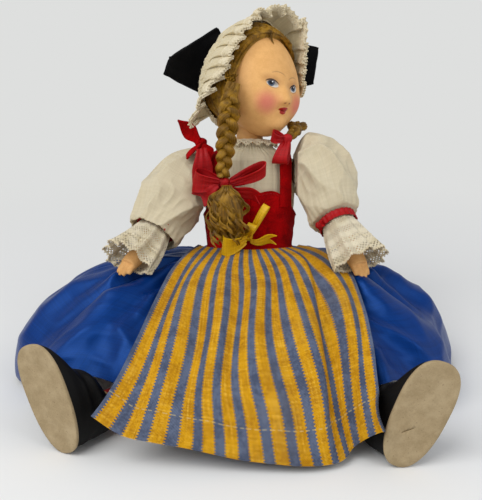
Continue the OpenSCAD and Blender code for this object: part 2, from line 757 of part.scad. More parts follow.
curl_sides = 18;
curl_rows = 10;
curl_len = 41;
curl_lean = 7;
curl_w = 29;
curl_d = 15;
curl_lobes = 6;
curl_lobe_depth = 0.1;
curl_twist_angle = 200;
curl_top = 0.3;
curl_foot = 0.5;
curls_at = braid_knot + [1.6, -6.8, 0.2];
module braid_curls() {
    color("goldenrod") translate(curls_at) loft([for (i = [0:curl_rows])
        let(t = i / curl_rows,
            fat = mix(curl_top, 1, ease(2.5 * t)) * mix(1, curl_foot, ease(2.5 * t - 1.5)))
        [for (j = [0:curl_sides - 1]) let(az = -360 * j / curl_sides,
            lobe = 1 + curl_lobe_depth * cos(curl_lobes * az + curl_twist_angle * t))
            [curl_w / 2 * fat * lobe * cos(az), curl_d / 2 * fat * lobe * sin(az) - curl_lean * ease(2 * t),
                -curl_len * t]]]);
}

bow_middle = [-1, -0.3, 87];
bow_w = 6;
bow_knot_r = 2.8;
module bodice_bow() {
    start = bow_knot_r + ribbon_t;
    color("gold") {
        knot(bow_middle, bow_knot_r);
        ribbon_loop(bow_middle + [1, 0, start], [0.45, 0.25, 1], [1, -0.4, -0.5], 19, bow_w, 2);
        ribbon_loop(bow_middle + [-start, 0, -0.5], [-1, -0.1, -0.35], [0, -0.5, 1], 13, bow_w, 2);
        ribbon_tail(bow_middle + [start, -0.5, 0], bow_middle + [16, 0, 1], [0, -0.5, 1], bow_w);
    }
}

// Arms, given by their elbow and fingertip on each side
arm_route_right = [[0, 0, 0], [17, -3, -2], [27, -33, -36], [46, -56, -47]];
arm_route_left = [[0, 0, 0], [17, -3, -2], [23, -36, -28], [37, -58, -48]];
function arm_route(side) = side < 0 ? arm_route_right : arm_route_left;
shoulder_point = [arm_x, shoulder_y, shoulder_z];
function arm_point(side, t) = shoulder_point + bezier(arm_route(side), t);
function arm_way(side, t) = arm_point(side, min(1, t + 0.02)) - arm_point(side, max(0, t - 0.02));
arm_sides = 14;
arm_rows = 14;
arm_stations = [
    [0, arm_dia / 2, arm_dia / 2],
    [0.45, arm_dia * 0.47, arm_dia * 0.47],
    [0.78, wrist_dia / 2, wrist_dia / 2],
    [0.9, wrist_dia * 0.62, wrist_dia * 0.46],
    [0.97, wrist_dia * 0.52, wrist_dia * 0.38],
    [1, wrist_dia * 0.2, wrist_dia * 0.16]
];

module arm(side) {
    color("burlywood") on_side(side) difference() {
        loft([for (i = [-1:arm_rows]) let(t = max(0, i / arm_rows))
            i < 0 ? ring_about(shoulder_point - [2 * cut, 0, 0], [1, 0, 0], [0, 0, 1], arm_dia / 2,
                    arm_dia / 2, arm_sides)
                : ring_about(arm_point(side, t), arm_way(side, t), [0, 0, 1], eased(t, arm_stations, 2),
                    eased(t, arm_stations, 1), arm_sides)]);
        translate([arm_x - 4 * cut, shoulder_y - arm_dia, shoulder_z - arm_dia])
            cube([4 * cut, 2 * arm_dia, 2 * arm_dia]);
        shoulder_axis(1) {
            translate([0, 0, arm_x]) cylinder(h = shoulder_pin_hold, d = shoulder_pin_dia);
            translate([0, 0, arm_x]) cylinder(h = pin_head_t, d = pin_head_dia);
        }
    }
}

module arm_disc(side) {
    color("saddlebrown") shoulder_axis(side) difference() {
        translate([0, 0, arm_disc_x]) cylinder(h = disc_t, d = disc_dia);
        translate([0, 0, arm_disc_x - cut]) cylinder(h = disc_t + 2 * cut, d = shoulder_pin_dia);
    }
}

module shoulder_pin(side) {
    color("silver") shoulder_axis(side) {
        translate([0, 0, body_disc_x - shoulder_pin_depth])
            cylinder(h = shoulder_pin_depth + arm_x - body_disc_x + shoulder_pin_hold, d = shoulder_pin_dia);
        translate([0, 0, arm_x]) cylinder(h = pin_head_t, d = pin_head_dia);
    }
}

// Sleeves: puffed from the armhole to a gathered band below the elbow
sleeve_end = 0.6;
sleeve_root_dia = 34;
sleeve_rows = 8;
sleeve_cols = 20;
sleeve_rise_right = 2;
sleeve_rise_left = 6;
function sleeve_rise(side) = side < 0 ? sleeve_rise_right : sleeve_rise_left;
sleeve_stations = [
    [0, sleeve_root_dia / 2],
    [0.22, puff_dia * 0.48],
    [0.38, puff_dia / 2],
    [0.52, puff_dia * 0.37],
    [sleeve_end, band_dia / 2]
];

module sleeve(side) {
    color("ivory") on_side(side) difference() {
        sheet([for (i = [-1:sleeve_rows])
            let(t = sleeve_end * max(0, i) / sleeve_rows, r = eased(t, sleeve_stations, 1),
            lift = [0, 0, sleeve_rise(side) * ease(2 - 2 * t / sleeve_end)],
            p = lift + (i < 0 ? shoulder_point - [4 * cut, 0, 0] : arm_point(side, t)),
            w = i < 0 ? [1, 0, 0] : arm_way(side, t))
            ring_about(p, w, [0, 0, 1], r, r, sleeve_cols)], blouse_t, true);
        translate([arm_disc_x - 2 * puff_dia, -body_h, 0]) cube([2 * puff_dia, 2 * body_h, 2 * body_h]);
    }
}

ribbon_band_w = 5;
module sleeve_ribbon(side) {
    r = band_dia / 2 + blouse_t / 2 + 3 * gap + ribbon_t / 2;
    p = arm_point(side, sleeve_end);
    w = unit(arm_way(side, sleeve_end));
    u = unit([0, 0, 1] - w.z * w);
    v = cross(w, u);
    color("crimson") on_side(side) {
        sheet([for (e = [0, 0.5, 1]) ring_about(p + e * ribbon_band_w * w, w, [0, 0, 1], r, r, sleeve_cols)],
            ribbon_t, true);
        ribbon_tail(p + 2 * w + (r + ribbon_t) * v, p + 7 * w + (r + 3) * v + 9 * u, w, ribbon_band_w);
    }
}

cuff_cols = 30;
cuff_pleats = 10;
cuff_wave = 1.8;
cuff_reach = 0.33;
cuff_flat = 0.3;
cuff_start = sleeve_end + 0.005;
cuff_t = 0.8;
module cuff_frill(side) {
    rows = 3;
    color("ivory") on_side(side) sheet([for (i = [0:rows])
        let(s = i / rows, t = cuff_start + cuff_reach * s, p = arm_point(side, t),
            w = unit(arm_way(side, t)), u = unit([0, 0, 1] - w.z * w), v = cross(w, u),
            r = mix(band_dia / 2 - blouse_t - gap, cuff_dia / 2, pow(s, 0.8)))
        [for (j = [0:cuff_cols - 1])
            let(a = 360 * j / cuff_cols, q = r + cuff_wave * s * sin(cuff_pleats * a),
            up = cos(a) * (cos(a) < 0 ? mix(1, cuff_flat, s) : 1))
            p + q * (up * u + sin(a) * v)]], cuff_t, true);
}

// Legs, straight ahead of the hip pin, with the foot turned up inside the shoe
leg_sides = 20;
leg_rows = 14;
foot_end = leg_len - sole_t - gap;
shoe_rim = leg_len - sole_t - shoe_h;
shoe_off = gap + shoe_t / 2;
shoe_out = gap + shoe_t;
toe_wide = 0.12;
sole_square = 0.8;
leg_start = 2;
leg_stations = [
    [0, thigh_dia / 2, thigh_dia / 2],
    [0.5 * shoe_rim, thigh_dia * 0.48, thigh_dia * 0.48],
    [shoe_rim, ankle_dia / 2, ankle_dia / 2],
    [mix(shoe_rim, foot_end, 0.45), mix(ankle_dia, sole_w, 0.6) / 2 - 0.6 * shoe_out, sole_len * 0.3],
    [foot_end + gap, sole_w / 2 - shoe_out - sole_proud, sole_len / 2 - shoe_out - sole_proud]
];
function leg_roll(s) = foot_roll * foot_share(s);
foot_slack = 3.8;
function leg_turn(side, s) = foot_turn(side) * foot_share(s);
// The foot stands off the ground by the sole's overhang
function foot_stand(s) = (shoe_out + sole_proud) * ease((s - 0.8 * shoe_rim) / (0.2 * shoe_rim));
// How far the section at s has turned from a round ankle into the oblong of the sole
function foot_share(s) = ease((s - shoe_rim) / (0.6 * shoe_h));
function curved(v, power) = sign(v) * pow(abs(v), power);
// Outline of the leg or foot at s, wider at the toes, standing off by off
function foot_outline(s, off, n) =
    let(a = eased(s, leg_stations, 1), b = eased(s, leg_stations, 2),
        power = mix(1, sole_square, foot_share(s)))
    [for (j = [0:n - 1]) let(q = 360 * j / n, wide = 1 + toe_wide * sin(q))
        [(a * wide + off) * curved(cos(q), power), (b + off) * curved(sin(q), power)]];
// Middle of the section at distance s from the hip pin, with its lowest point on the ground
function leg_middle(s) =
    let(roll = leg_roll(s), outline = foot_outline(s, foot_stand(s), 2 * leg_sides),
        low = min([for (p = outline) p[1] * cos(roll) - p[0] * sin(roll)]))
    [(eased(s, leg_stations, 2) - ankle_dia / 2) * sin(roll), -s, leg_lift - low];
function leg_ring(side, s, off, n) =
    let(roll = leg_roll(s), turn = leg_turn(side, s), u0 = [cos(turn), -sin(turn), 0], v0 = [0, 0, 1],
        u = u0 * cos(roll) - v0 * sin(roll), v = u0 * sin(roll) + v0 * cos(roll), m = leg_middle(s))
    [for (p = foot_outline(s, off, n)) m + p[0] * u + p[1] * v];

module leg(side) {
    color("firebrick") at_hip(side) difference() {
        union() {
            translate([0, 0, leg_lift]) cylinder(h = thigh_dia, d = thigh_dia);
            loft([for (i = [0:leg_rows]) let(s = mix(leg_start, foot_end, i / leg_rows))
                leg_ring(side, s, -foot_slack * ease((s - shoe_rim) / (0.3 * shoe_h)), leg_sides)]);
        }
        translate([0, 0, hip_pin_low]) cylinder(h = thigh_dia, d = hip_pin_dia);
        translate([-thigh_dia, -2 * thigh_dia, thigh_top]) cube([2 * thigh_dia, 3 * thigh_dia, thigh_dia]);
    }
}

module hip_pin(side) {
    color("silver") at_hip(side) translate([0, 0, hip_pin_low])
        cylinder(h = pocket_top + hip_pin_rise - hip_pin_low, d = hip_pin_dia);
}

shoe_rows = 6;
module shoe_upper(side) {
    color("black") at_hip(side) sheet([for (i = [0:shoe_rows])
        leg_ring(side, mix(shoe_rim, leg_len - sole_t - 0.6 * shoe_t, i / shoe_rows), shoe_off, leg_sides)],
        shoe_t, true);
}

module shoe_sole(side) {
    s = leg_len - sole_t;
    color("tan") at_hip(side) translate(leg_middle(s)) rotate([0, 0, -foot_turn(side)]) rotate([90, 0, 0])
        rotate([0, 0, -foot_roll]) linear_extrude(sole_t)
        polygon(foot_outline(s, shoe_out + sole_proud, 2 * leg_sides));
}

torso();
shoulder_discs();
hip_discs();
blouse();
collar_frill();
bodice();
strap(-1);  // strap_right
strap(1);  // strap_left
petticoat();
skirt();
apron();
bodice_bow();
head();
neck_peg();
hair();
braid_right();
braid_left();
braid_bow_right();
braid_bow_left();
braid_curls();
cap();
cap_frill();
wing(-1);  // wing_right
wing(1);  // wing_left
wing_knot();
arm(-1);  // arm_right
arm(1);  // arm_left
arm_disc(-1);  // arm_disc_right
arm_disc(1);  // arm_disc_left
shoulder_pin(-1);  // shoulder_pin_right
shoulder_pin(1);  // shoulder_pin_left
sleeve(-1);  // sleeve_right
sleeve(1);  // sleeve_left
sleeve_ribbon(-1);  // sleeve_ribbon_right
sleeve_ribbon(1);  // sleeve_ribbon_left
cuff_frill(-1);  // cuff_frill_right
cuff_frill(1);  // cuff_frill_left
leg(-1);  // leg_right
leg(1);  // leg_left
hip_pin(-1);  // hip_pin_right
hip_pin(1);  // hip_pin_left
shoe_upper(-1);  // shoe_upper_right
shoe_upper(1);  // shoe_upper_left
shoe_sole(-1);  // shoe_sole_right
shoe_sole(1);  // shoe_sole_left
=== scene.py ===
"""Looks of the seated felt doll: its stuffed body, painted head, hair, folk dress and shoes."""
import logging
import math
from dataclasses import dataclass, field
from enum import Enum
from typing import Sequence

import bmesh
import bpy
import numpy as np
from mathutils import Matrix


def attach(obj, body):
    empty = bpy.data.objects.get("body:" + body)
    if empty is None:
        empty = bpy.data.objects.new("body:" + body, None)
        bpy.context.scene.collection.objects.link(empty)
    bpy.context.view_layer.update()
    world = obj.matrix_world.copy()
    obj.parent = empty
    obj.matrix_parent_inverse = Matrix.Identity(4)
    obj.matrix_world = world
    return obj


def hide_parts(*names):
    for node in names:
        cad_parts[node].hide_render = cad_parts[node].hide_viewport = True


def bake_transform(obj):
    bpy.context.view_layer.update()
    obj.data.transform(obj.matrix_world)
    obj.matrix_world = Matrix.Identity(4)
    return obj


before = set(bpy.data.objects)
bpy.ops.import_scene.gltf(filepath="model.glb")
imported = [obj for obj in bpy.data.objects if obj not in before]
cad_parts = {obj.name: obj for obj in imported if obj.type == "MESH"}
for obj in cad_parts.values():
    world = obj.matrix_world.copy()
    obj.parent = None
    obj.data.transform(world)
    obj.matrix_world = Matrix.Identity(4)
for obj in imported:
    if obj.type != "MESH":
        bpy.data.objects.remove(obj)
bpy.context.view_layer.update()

Array = np.ndarray
Value = float | np.ndarray
Point = Sequence[float] | np.ndarray
Stations = Sequence[Sequence[float]]
Colour = tuple[float, float, float]
Patches = tuple[float, float, float]
Piece = bpy.types.Object
Node = bpy.types.Node
Socket = bpy.types.NodeSocket
Inputs = bpy.types.NodeInputs
Outputs = bpy.types.NodeOutputs
Feed = Socket | float | Sequence[float]
LOG = logging.getLogger("felt_doll")
MM = 0.001
UV_MAP = "Cloth"
RIBBON_THICK = 0.6
LACE_THICK = 0.4


class Side(Enum):
    """The doll's own right and left; right lies on -X."""

    RIGHT = -1
    LEFT = 1

    @property
    def label(self) -> str:
        """Ending of the names of this side's pieces."""
        return self.name.lower()

    def faced(self, points: Array) -> Array:
        """Mirrors points of the left side where this is the right side."""
        return points * np.array([self.value, 1.0, 1.0])


# Shaping functions, in millimetres and degrees
def mix(a: Value, b: Value, t: Value) -> Value:
    """Goes from a to b as t goes from 0 to 1."""
    return a + (b - a) * t


def ease(t: Value) -> Value:
    """Eases 0 to 1 with level ends."""
    return (1 - np.cos(np.pi * np.clip(t, 0, 1))) / 2


def arch(t: Value) -> Value:
    """Rises from 0 to 1 at the middle and falls back to 0."""
    return np.sin(np.pi * t)


def bell(x: Value) -> Value:
    """Falls from 1 at 0 to almost nothing at 2 on either side."""
    return np.exp(-(x**2))


def sind(angle: Value) -> Value:
    """Sine of an angle in degrees."""
    return np.sin(np.radians(angle))


def cosd(angle: Value) -> Value:
    """Cosine of an angle in degrees."""
    return np.cos(np.radians(angle))


def per_row(first: float, last: float, count: int) -> Array:
    """Even steps, one for each row of a grid."""
    return np.linspace(first, last, count)[:, None]


def per_col(first: float, last: float, count: int) -> Array:
    """Even steps, one for each column of a grid."""
    return np.linspace(first, last, count)[None, :]


def turns(count: int) -> Array:
    """Even turns round a ring in degrees, one for each column of a grid."""
    return np.linspace(0, 360, count, endpoint=False)[None, :]


def unit(v: Array) -> Array:
    """Scales vectors to a length of one."""
    return v / np.maximum(np.linalg.norm(v, axis=-1, keepdims=True), 1e-9)


def stacked(*parts: Value) -> Array:
    """Joins coordinates that may have different shapes into points."""
    return np.stack(np.broadcast_arrays(*parts), -1)


def eased(z: Value, stations: Stations, column: int) -> Array:
    """Reads a column of a list of stations, eased from one station to the next.

    Args:
        z: Where to read, in the unit of the stations' first column.
        stations: Rows of a place and its values.
        column: Which value to read.

    Returns:
        The values at z, in z's shape.
    """
    table = np.array(stations, float)
    z = np.asarray(z, float)
    i = np.clip(np.searchsorted(table[:, 0], z, "right") - 1, 0, len(table) - 2)
    t = (z - table[i, 0]) / (table[i + 1, 0] - table[i, 0])
    return mix(table[i, column], table[i + 1, column], ease(t))


def bezier(points: Array, t: Value) -> Array:
    """Gives points on a cubic curve.

    Args:
        points: Four control points on the first axis.
        t: Shares of the way along.

    Returns:
        Points in t's shape with one more axis.
    """
    t = np.asarray(t, float)[..., None]
    a, b, c, d = (np.asarray(p, float) for p in points)
    return (1 - t) ** 3 * a + 3 * t * (1 - t) ** 2 * b + 3 * t**2 * (1 - t) * c + t**3 * d


def through(route: Array, count: int) -> Array:
    """Draws a smooth path through every point of a route.

    Args:
        route: The points, as listed.
        count: How many points the path gets.

    Returns:
        The path's points.
    """
    route = np.asarray(route, float)
    t = np.linspace(0, len(route) - 1, count)
    i = np.minimum(t.astype(int), len(route) - 2)
    f = (t - i)[:, None]
    a, b, c, d = (route[np.clip(i + k, 0, len(route) - 1)] for k in (-1, 0, 1, 2))
    bend = (2 * a - 5 * b + 4 * c - d) * f**2 / 2
    return b + (c - a) * f / 2 + bend + (3 * b - a - 3 * c + d) * f**3 / 2


def travelled(path: Array) -> Array:
    """Distances along a path from its first point to each point."""
    return np.concatenate([[0], np.cumsum(np.linalg.norm(np.diff(path, axis=0), axis=1))])


def between(points: Array, places: Array, want: Array) -> Array:
    """Points of a line at the wanted places, read between the places of those that it has."""
    return stacked(*(np.interp(want, places, points[:, k]) for k in range(3)))


def turned(axis: str, angle: float) -> Array:
    """Makes the matrix of a turn.

    Args:
        axis: The axis of the turn, x, y or z.
        angle: The turn, in degrees.

    Returns:
        The 4x4 matrix.
    """
    c, s = cosd(angle), sind(angle)
    i, j = {"x": (1, 2), "y": (2, 0), "z": (0, 1)}[axis]
    made = np.eye(4)
    made[i, i] = made[j, j] = c
    made[i, j], made[j, i] = -s, s
    return made


def shifted(x: float, y: float, z: float) -> Array:
    """Makes the 4x4 matrix of a shift."""
    return np.array([[1, 0, 0, x], [0, 1, 0, y], [0, 0, 1, z], [0, 0, 0, 1]], float)


def placed(matrix: Array, points: Array) -> Array:
    """Carries points through a 4x4 matrix."""
    return points @ matrix[:3, :3].T + matrix[:3, 3]


def ring_frame(way: Array) -> tuple[Array, Array, Array]:
    """Gives the axes of sections that are square to some directions.

    Args:
        way: The directions.

    Returns:
        The unit directions, and the sections' upward and sideways axes.
    """
    w, up = unit(way), np.array([0.0, 0.0, 1.0])
    u = unit(up - (w @ up)[..., None] * w)
    return w, u, np.cross(w, u)


def ringed(middle: Array, u: Array, v: Array, x: Array, y: Array) -> Array:
    """Lays sections on a middle line, with x on their upward axes u and y on their sideways axes v."""
    return middle[:, None] + x[..., None] * u[:, None] + y[..., None] * v[:, None]


@dataclass(frozen=True)
class Wrinkles:
    """Seeded creases of a cloth: crossed waves, folded at their zero lines."""

    seed: int
    across: int
    along: float
    count: int = 7

    def height(self, u: Array, v: Array) -> Array:
        """Gives the height of the creases.

        Args:
            u: Share of the way round the cloth, which wraps at 1.
            v: Share of the way along it.

        Returns:
            Heights of about -1 in a crease to 1 on a crest.
        """
        draw = np.random.default_rng(self.seed)
        total = np.zeros(np.broadcast(u, v).shape)
        for _ in range(self.count):
            bends = draw.integers(1, self.across + 1)
            slant, size = draw.uniform(-self.along, self.along), draw.uniform(0.5, 1)
            total += size * np.sin(2 * np.pi * (bends * u + slant * v) + draw.uniform(0, 7))
        return 1 - 2 * np.abs(np.tanh(total / math.sqrt(self.count)))


def relaxed(points: Array, rounds: int, wrap: bool = False) -> Array:
    """Smooths the inner points of a grid towards their neighbours, with its edges left alone.

    Args:
        points: Rows of columns of points.
        rounds: How often they are smoothed.
        wrap: Whether the last column joins the first.

    Returns:
        The smoothed grid.
    """
    points = points.copy()
    for _ in range(rounds):
        rows = (points[:-2] + points[2:]) / 2
        if wrap:
            cols = (np.roll(points, 1, 1) + np.roll(points, -1, 1))[1:-1] / 2
            points[1:-1] = (rows + cols) / 2
        else:
            cols = (points[1:-1, :-2] + points[1:-1, 2:]) / 2
            points[1:-1, 1:-1] = (rows[:, 1:-1] + cols) / 2
    return points


class Skin:
    """Collects the surfaces of one piece, in millimetres, and builds its mesh."""

    def __init__(self) -> None:
        """Starts with no surface."""
        self.points: list[Array] = []
        self.faces: list[tuple[Array, Array]] = []
        self.count = 0

    def _keep(self, points: Array) -> int:
        """Adds points.

        Args:
            points: The points, in a grid of any shape.

        Returns:
            The number of the first one.
        """
        start = self.count
        self.points.append(points.reshape(-1, 3))
        self.count += len(self.points[-1])
        return start

    @staticmethod
    def lengths(points: Array, wrap: bool = False) -> Array:
        """Lays a grid out flat, as cloth that is gathered at its narrow rows.

        Args:
            points: Rows of columns of points.
            wrap: Whether the last column joins the first.

        Returns:
            Cloth coordinates in metres, with one more column where the grid wraps.
        """
        closed = np.concatenate([points, points[:, :1]], 1) if wrap else points
        across = np.linalg.norm(np.diff(closed, axis=1), axis=2)
        widest = across[across.sum(1).argmax()]
        u = np.concatenate([[0], np.cumsum(widest)]) * MM
        down = np.linalg.norm(np.diff(points, axis=0), axis=2).mean(1)
        v = np.concatenate([[0], np.cumsum(down)]) * MM
        return stacked(u[None, :], v[:, None])

    @staticmethod
    def normals(points: Array, wrap: bool = False) -> Array:
        """Gives the unit normals of a grid of points.

        Args:
            points: Rows of columns of points.
            wrap: Whether the last column joins the first.

        Returns:
            A normal for each point.
        """
        down, across = np.gradient(points, axis=0), np.gradient(points, axis=1)
        if wrap:
            across = np.roll(points, -1, 1) - np.roll(points, 1, 1)
        return unit(np.cross(down, across))

    def grid(self, points: Array, wrap: bool = False, uv: Array | None = None, flip: bool = False) -> int:
        """Adds an open surface over a grid of points.

        Args:
            points: Rows of columns of points.
            wrap: Whether the last column joins the first.
            uv: Cloth coordinates, worked out from the lengths where they are left out.
            flip: Whether the faces look the other way.

        Returns:
            The number of the grid's first point.
        """
        rows, cols = points.shape[:2]
        uv = self.lengths(points, wrap) if uv is None else uv
        start = self._keep(points)
        i, j = np.meshgrid(np.arange(rows - 1), np.arange(cols if wrap else cols - 1), indexing="ij")
        steps = ((0, 0), (0, 1), (1, 1), (1, 0))
        quads = np.stack([start + (i + a) * cols + (j + b) % cols for a, b in steps], -1).reshape(-1, 4)
        corners = np.stack([uv[i + a, j + b] for a, b in steps], -2).reshape(-1, 4, 2)
        self.faces.append((quads[:, ::-1], corners[:, ::-1]) if flip else (quads, corners))
        return start

    def shell(self, points: Array, thick: float, wrap: bool = False, uv: Array | None = None) -> "Skin":
        """Adds a closed sheet of cloth about a grid of points.

        Args:
            points: Rows of columns of points.
            thick: Thickness of the cloth.
            wrap: Whether the last column joins the first.
            uv: Cloth coordinates, worked out from the lengths where they are left out.

        Returns:
            The skin itself.
        """
        rows, cols = points.shape[:2]
        uv = self.lengths(points, wrap) if uv is None else uv
        off = self.normals(points, wrap) * thick / 2
        front = self.grid(points + off, wrap, uv, flip=True)
        back = self.grid(points - off, wrap, uv)
        i, j = np.arange(rows - 1), np.arange(cols if wrap else cols - 1)
        edges = [((0 * j + row, j), (0 * j + row, j + 1)) for row in (0, rows - 1)]
        if not wrap:
            edges += [((i, 0 * i + col), (i + 1, 0 * i + col)) for col in (0, cols - 1)]
        for (ai, aj), (bi, bj) in edges:
            a, b = ai * cols + aj % cols, bi * cols + bj % cols
            quads = np.stack([front + a, front + b, back + b, back + a], -1)
            corners = np.stack([uv[ai, aj], uv[bi, bj], uv[bi, bj], uv[ai, aj]], -2)
            self.faces.append((quads, corners))
        return self

    def fan(self, ring: Array, start: int) -> None:
        """Closes a ring with triangles to its middle.

        Args:
            ring: Its points.
            start: The number of the first one.
        """
        n = len(ring)
        middle = self._keep(ring.mean(0)[None])
        j = np.arange(n)
        tris = np.stack([start + j, start + (j + 1) % n, np.full(n, middle)], -1)
        self.faces.append((tris, np.zeros((n, 3, 2))))

    def loft(self, rings: Array, uv: Array | None = None) -> "Skin":
        """Adds a closed solid skinned over rings, with both ends shut.

        Args:
            rings: Rows of ring points.
            uv: Cloth coordinates, worked out from the lengths where they are left out.

        Returns:
            The skin itself.
        """
        rows, cols = rings.shape[:2]
        start = self.grid(rings, True, uv)
        self.fan(rings[0], start)
        self.fan(rings[-1], start + (rows - 1) * cols)
        return self

    def tube(self, path: Array, radii: Value, sides: int) -> "Skin":
        """Adds a closed tube along a path.

        Args:
            path: The points of its middle line.
            radii: One radius, or one for each point.
            sides: Sides of its section.

        Returns:
            The skin itself.
        """
        radii = np.broadcast_to(np.asarray(radii, float), (len(path),))
        w = unit(np.gradient(path, axis=0))
        side = np.empty_like(path)
        last = np.array([0.1, 0.3, 1.0])
        for k, way in enumerate(w):
            last = unit(last - (last @ way) * way)
            side[k] = last
        a = 2 * np.pi * np.arange(sides)[:, None] / sides
        section = np.cos(a) * side[:, None] + np.sin(a) * np.cross(w, side)[:, None]
        return self.loft(path[:, None] + radii[:, None, None] * section)

    def build(self, name: str, finish: "Finish", sharp: float = 60.0) -> Piece:
        """Makes the piece's object.

        Args:
            name: Name of the piece.
            finish: Its finish.
            sharp: Edges that turn by more than this angle stay sharp.

        Returns:
            The new object, in metres, in the frame.
        """
        mesh = bpy.data.meshes.new(name)
        points = np.concatenate(self.points) * MM
        loops = np.concatenate([f.ravel() for f, _ in self.faces])
        uvs = np.concatenate([c.reshape(-1, 2) for _, c in self.faces])
        sizes = np.concatenate([np.full(len(f), f.shape[1]) for f, _ in self.faces])
        mesh.vertices.add(len(points))
        mesh.vertices.foreach_set("co", points.ravel())
        mesh.loops.add(len(loops))
        mesh.loops.foreach_set("vertex_index", loops.astype(np.int32))
        mesh.polygons.add(len(sizes))
        mesh.polygons.foreach_set("loop_start", (np.cumsum(sizes) - sizes).astype(np.int32))
        mesh.update(calc_edges=True)
        mesh.uv_layers.new(name=UV_MAP).uv.foreach_set("vector", uvs.ravel().astype(np.float32))
        work = bmesh.new()
        work.from_mesh(mesh)
        bmesh.ops.recalc_face_normals(work, faces=work.faces)
        work.to_mesh(mesh)
        work.free()
        mesh.shade_smooth()
        mesh.set_sharp_from_angle(angle=math.radians(sharp))
        mesh.materials.append(finish.material())
        made = bpy.data.objects.new(name, mesh)
        bpy.context.scene.collection.objects.link(made)
        return made


# Shader effects that several finishes share
class Tree:
    """Adds and wires the nodes of one shader tree."""

    def __init__(self, tree: bpy.types.NodeTree) -> None:
        """Takes the tree to work on."""
        self.tree = tree

    def feed(self, socket: Socket, value: Feed) -> None:
        """Links a socket to another one, or sets its value.

        Args:
            socket: The input to feed.
            value: The other socket, or the value.
        """
        if isinstance(value, Socket):
            self.tree.links.new(value, socket)
        else:
            socket.default_value = value

    def node(self, kind: str, feeds: dict | None = None, **settings) -> Node:
        """Adds a node.

        Args:
            kind: Its type, without the common prefix.
            feeds: Values or sockets for its inputs, by name or number.
            settings: Its own settings.

        Returns:
            The node.
        """
        made = self.tree.nodes.new("ShaderNode" + kind)
        for key, value in settings.items():
            setattr(made, key, value)
        for key, value in (feeds or {}).items():
            self.feed(made.inputs[key], value)
        return made

    def math(self, operation: str, a: Feed, b: Feed = 0.0, clamp: bool = False) -> Socket:
        """Adds a Math node and returns its result."""
        return self.node("Math", {0: a, 1: b}, operation=operation, use_clamp=clamp).outputs[0]

    def mix(self, share: Feed, a: Feed, b: Feed) -> Socket:
        """Mixes two colours and returns the result."""
        return self.node("Mix", {0: share, 6: a, 7: b}, data_type="RGBA").outputs[2]

    def tinted(self, tone: Socket, mask: Socket, share: float, colour: Colour) -> Socket:
        """Lays a share of a colour over a tone where a mask lies."""
        return self.mix(self.math("MULTIPLY", mask, share), tone, linear(colour))

    def smooth(self, value: Feed, low: Feed, high: Feed) -> Socket:
        """Steps smoothly from 0 at low to 1 at high."""
        feeds = {0: value, 1: low, 2: high}
        return self.node("MapRange", feeds, interpolation_type="SMOOTHSTEP").outputs[0]

    def noise(self, where: Socket, scale: Feed, detail: float, rough: float = 0.5) -> Socket:
        """Adds a noise and returns its value."""
        feeds = {"Vector": where, "Scale": scale, "Detail": detail, "Roughness": rough}
        return self.node("TexNoise", feeds).outputs[0]

    def stretched(self, where: Socket, x: Feed, y: Feed) -> Socket:
        """Scales the first two numbers of a coordinate, each by its own factor."""
        by = self.node("CombineXYZ", {0: x, 1: y, 2: 1.0}).outputs[0]
        return self.node("VectorMath", {0: where, 1: by}, operation="MULTIPLY").outputs[0]

    def parts(self, where: Socket) -> Outputs:
        """Splits a coordinate into its three numbers."""
        return self.node("SeparateXYZ", {0: where}).outputs

    def cloth(self) -> Socket:
        """Gives the coordinate on the flat cloth, in metres."""
        return self.node("UVMap", uv_map=UV_MAP).outputs[0]

    def space(self) -> Socket:
        """Gives the coordinate on the piece at rest, in metres."""
        return self.node("TexCoord").outputs["Object"]

    def patched(self, patches: Patches) -> Socket:
        """Gives the mask of faded patches, from their scale and the two limits of their noise."""
        feeds = dict(zip(("Scale", "Low", "High"), patches))
        return self.effect(Effect.AGING, Coordinate=self.space(), **feeds)["Mask"]

    def effect(self, effect: "Effect", **feeds) -> Outputs:
        """Places a shared effect.

        Args:
            effect: Which one.
            feeds: Values or sockets for its inputs.

        Returns:
            The outputs of its node.
        """
        made = self.tree.nodes.new("ShaderNodeGroup")
        made.node_tree = effect.group()
        for key, value in feeds.items():
            self.feed(made.inputs[key], value)
        return made.outputs


def draw_threads(t: Tree, given: Outputs, out: Inputs) -> None:
    """Draws crossing threads: plain weave at a Twill of 0, diagonal ribs at 1.

    Args:
        t: The group's tree.
        given: Its inputs.
        out: Its outputs.
    """
    wander = t.noise(given["Coordinate"], 120.0, 2.0)
    x, y, _ = t.parts(given["Coordinate"])
    x = t.math("MULTIPLY", t.math("ADD", x, t.math("MULTIPLY", wander, 0.0012)), given["Warp"])
    y = t.math("MULTIPLY", y, given["Weft"])
    lean = t.math("ADD", x, t.math("MULTIPLY", y, given["Twill"]))
    one = t.math("SINE", t.math("MULTIPLY", lean, 2 * math.pi))
    two = t.math("SINE", t.math("MULTIPLY", y, 2 * math.pi))
    plain = t.math("MULTIPLY", two, t.math("SUBTRACT", 1.0, given["Twill"]))
    crossing = t.math("MULTIPLY", one, t.math("ADD", plain, given["Twill"]))
    t.feed(out["Height"], t.math("ADD", t.math("MULTIPLY", crossing, 0.5), 0.5))
    slub = t.noise(t.stretched(given["Coordinate"], given["Warp"], 40.0), 0.7, 2.0)
    other = t.noise(t.stretched(given["Coordinate"], 40.0, given["Weft"]), 0.7, 2.0)
    t.feed(out["Shade"], t.math("MULTIPLY", t.math("ADD", slub, other), 0.5))


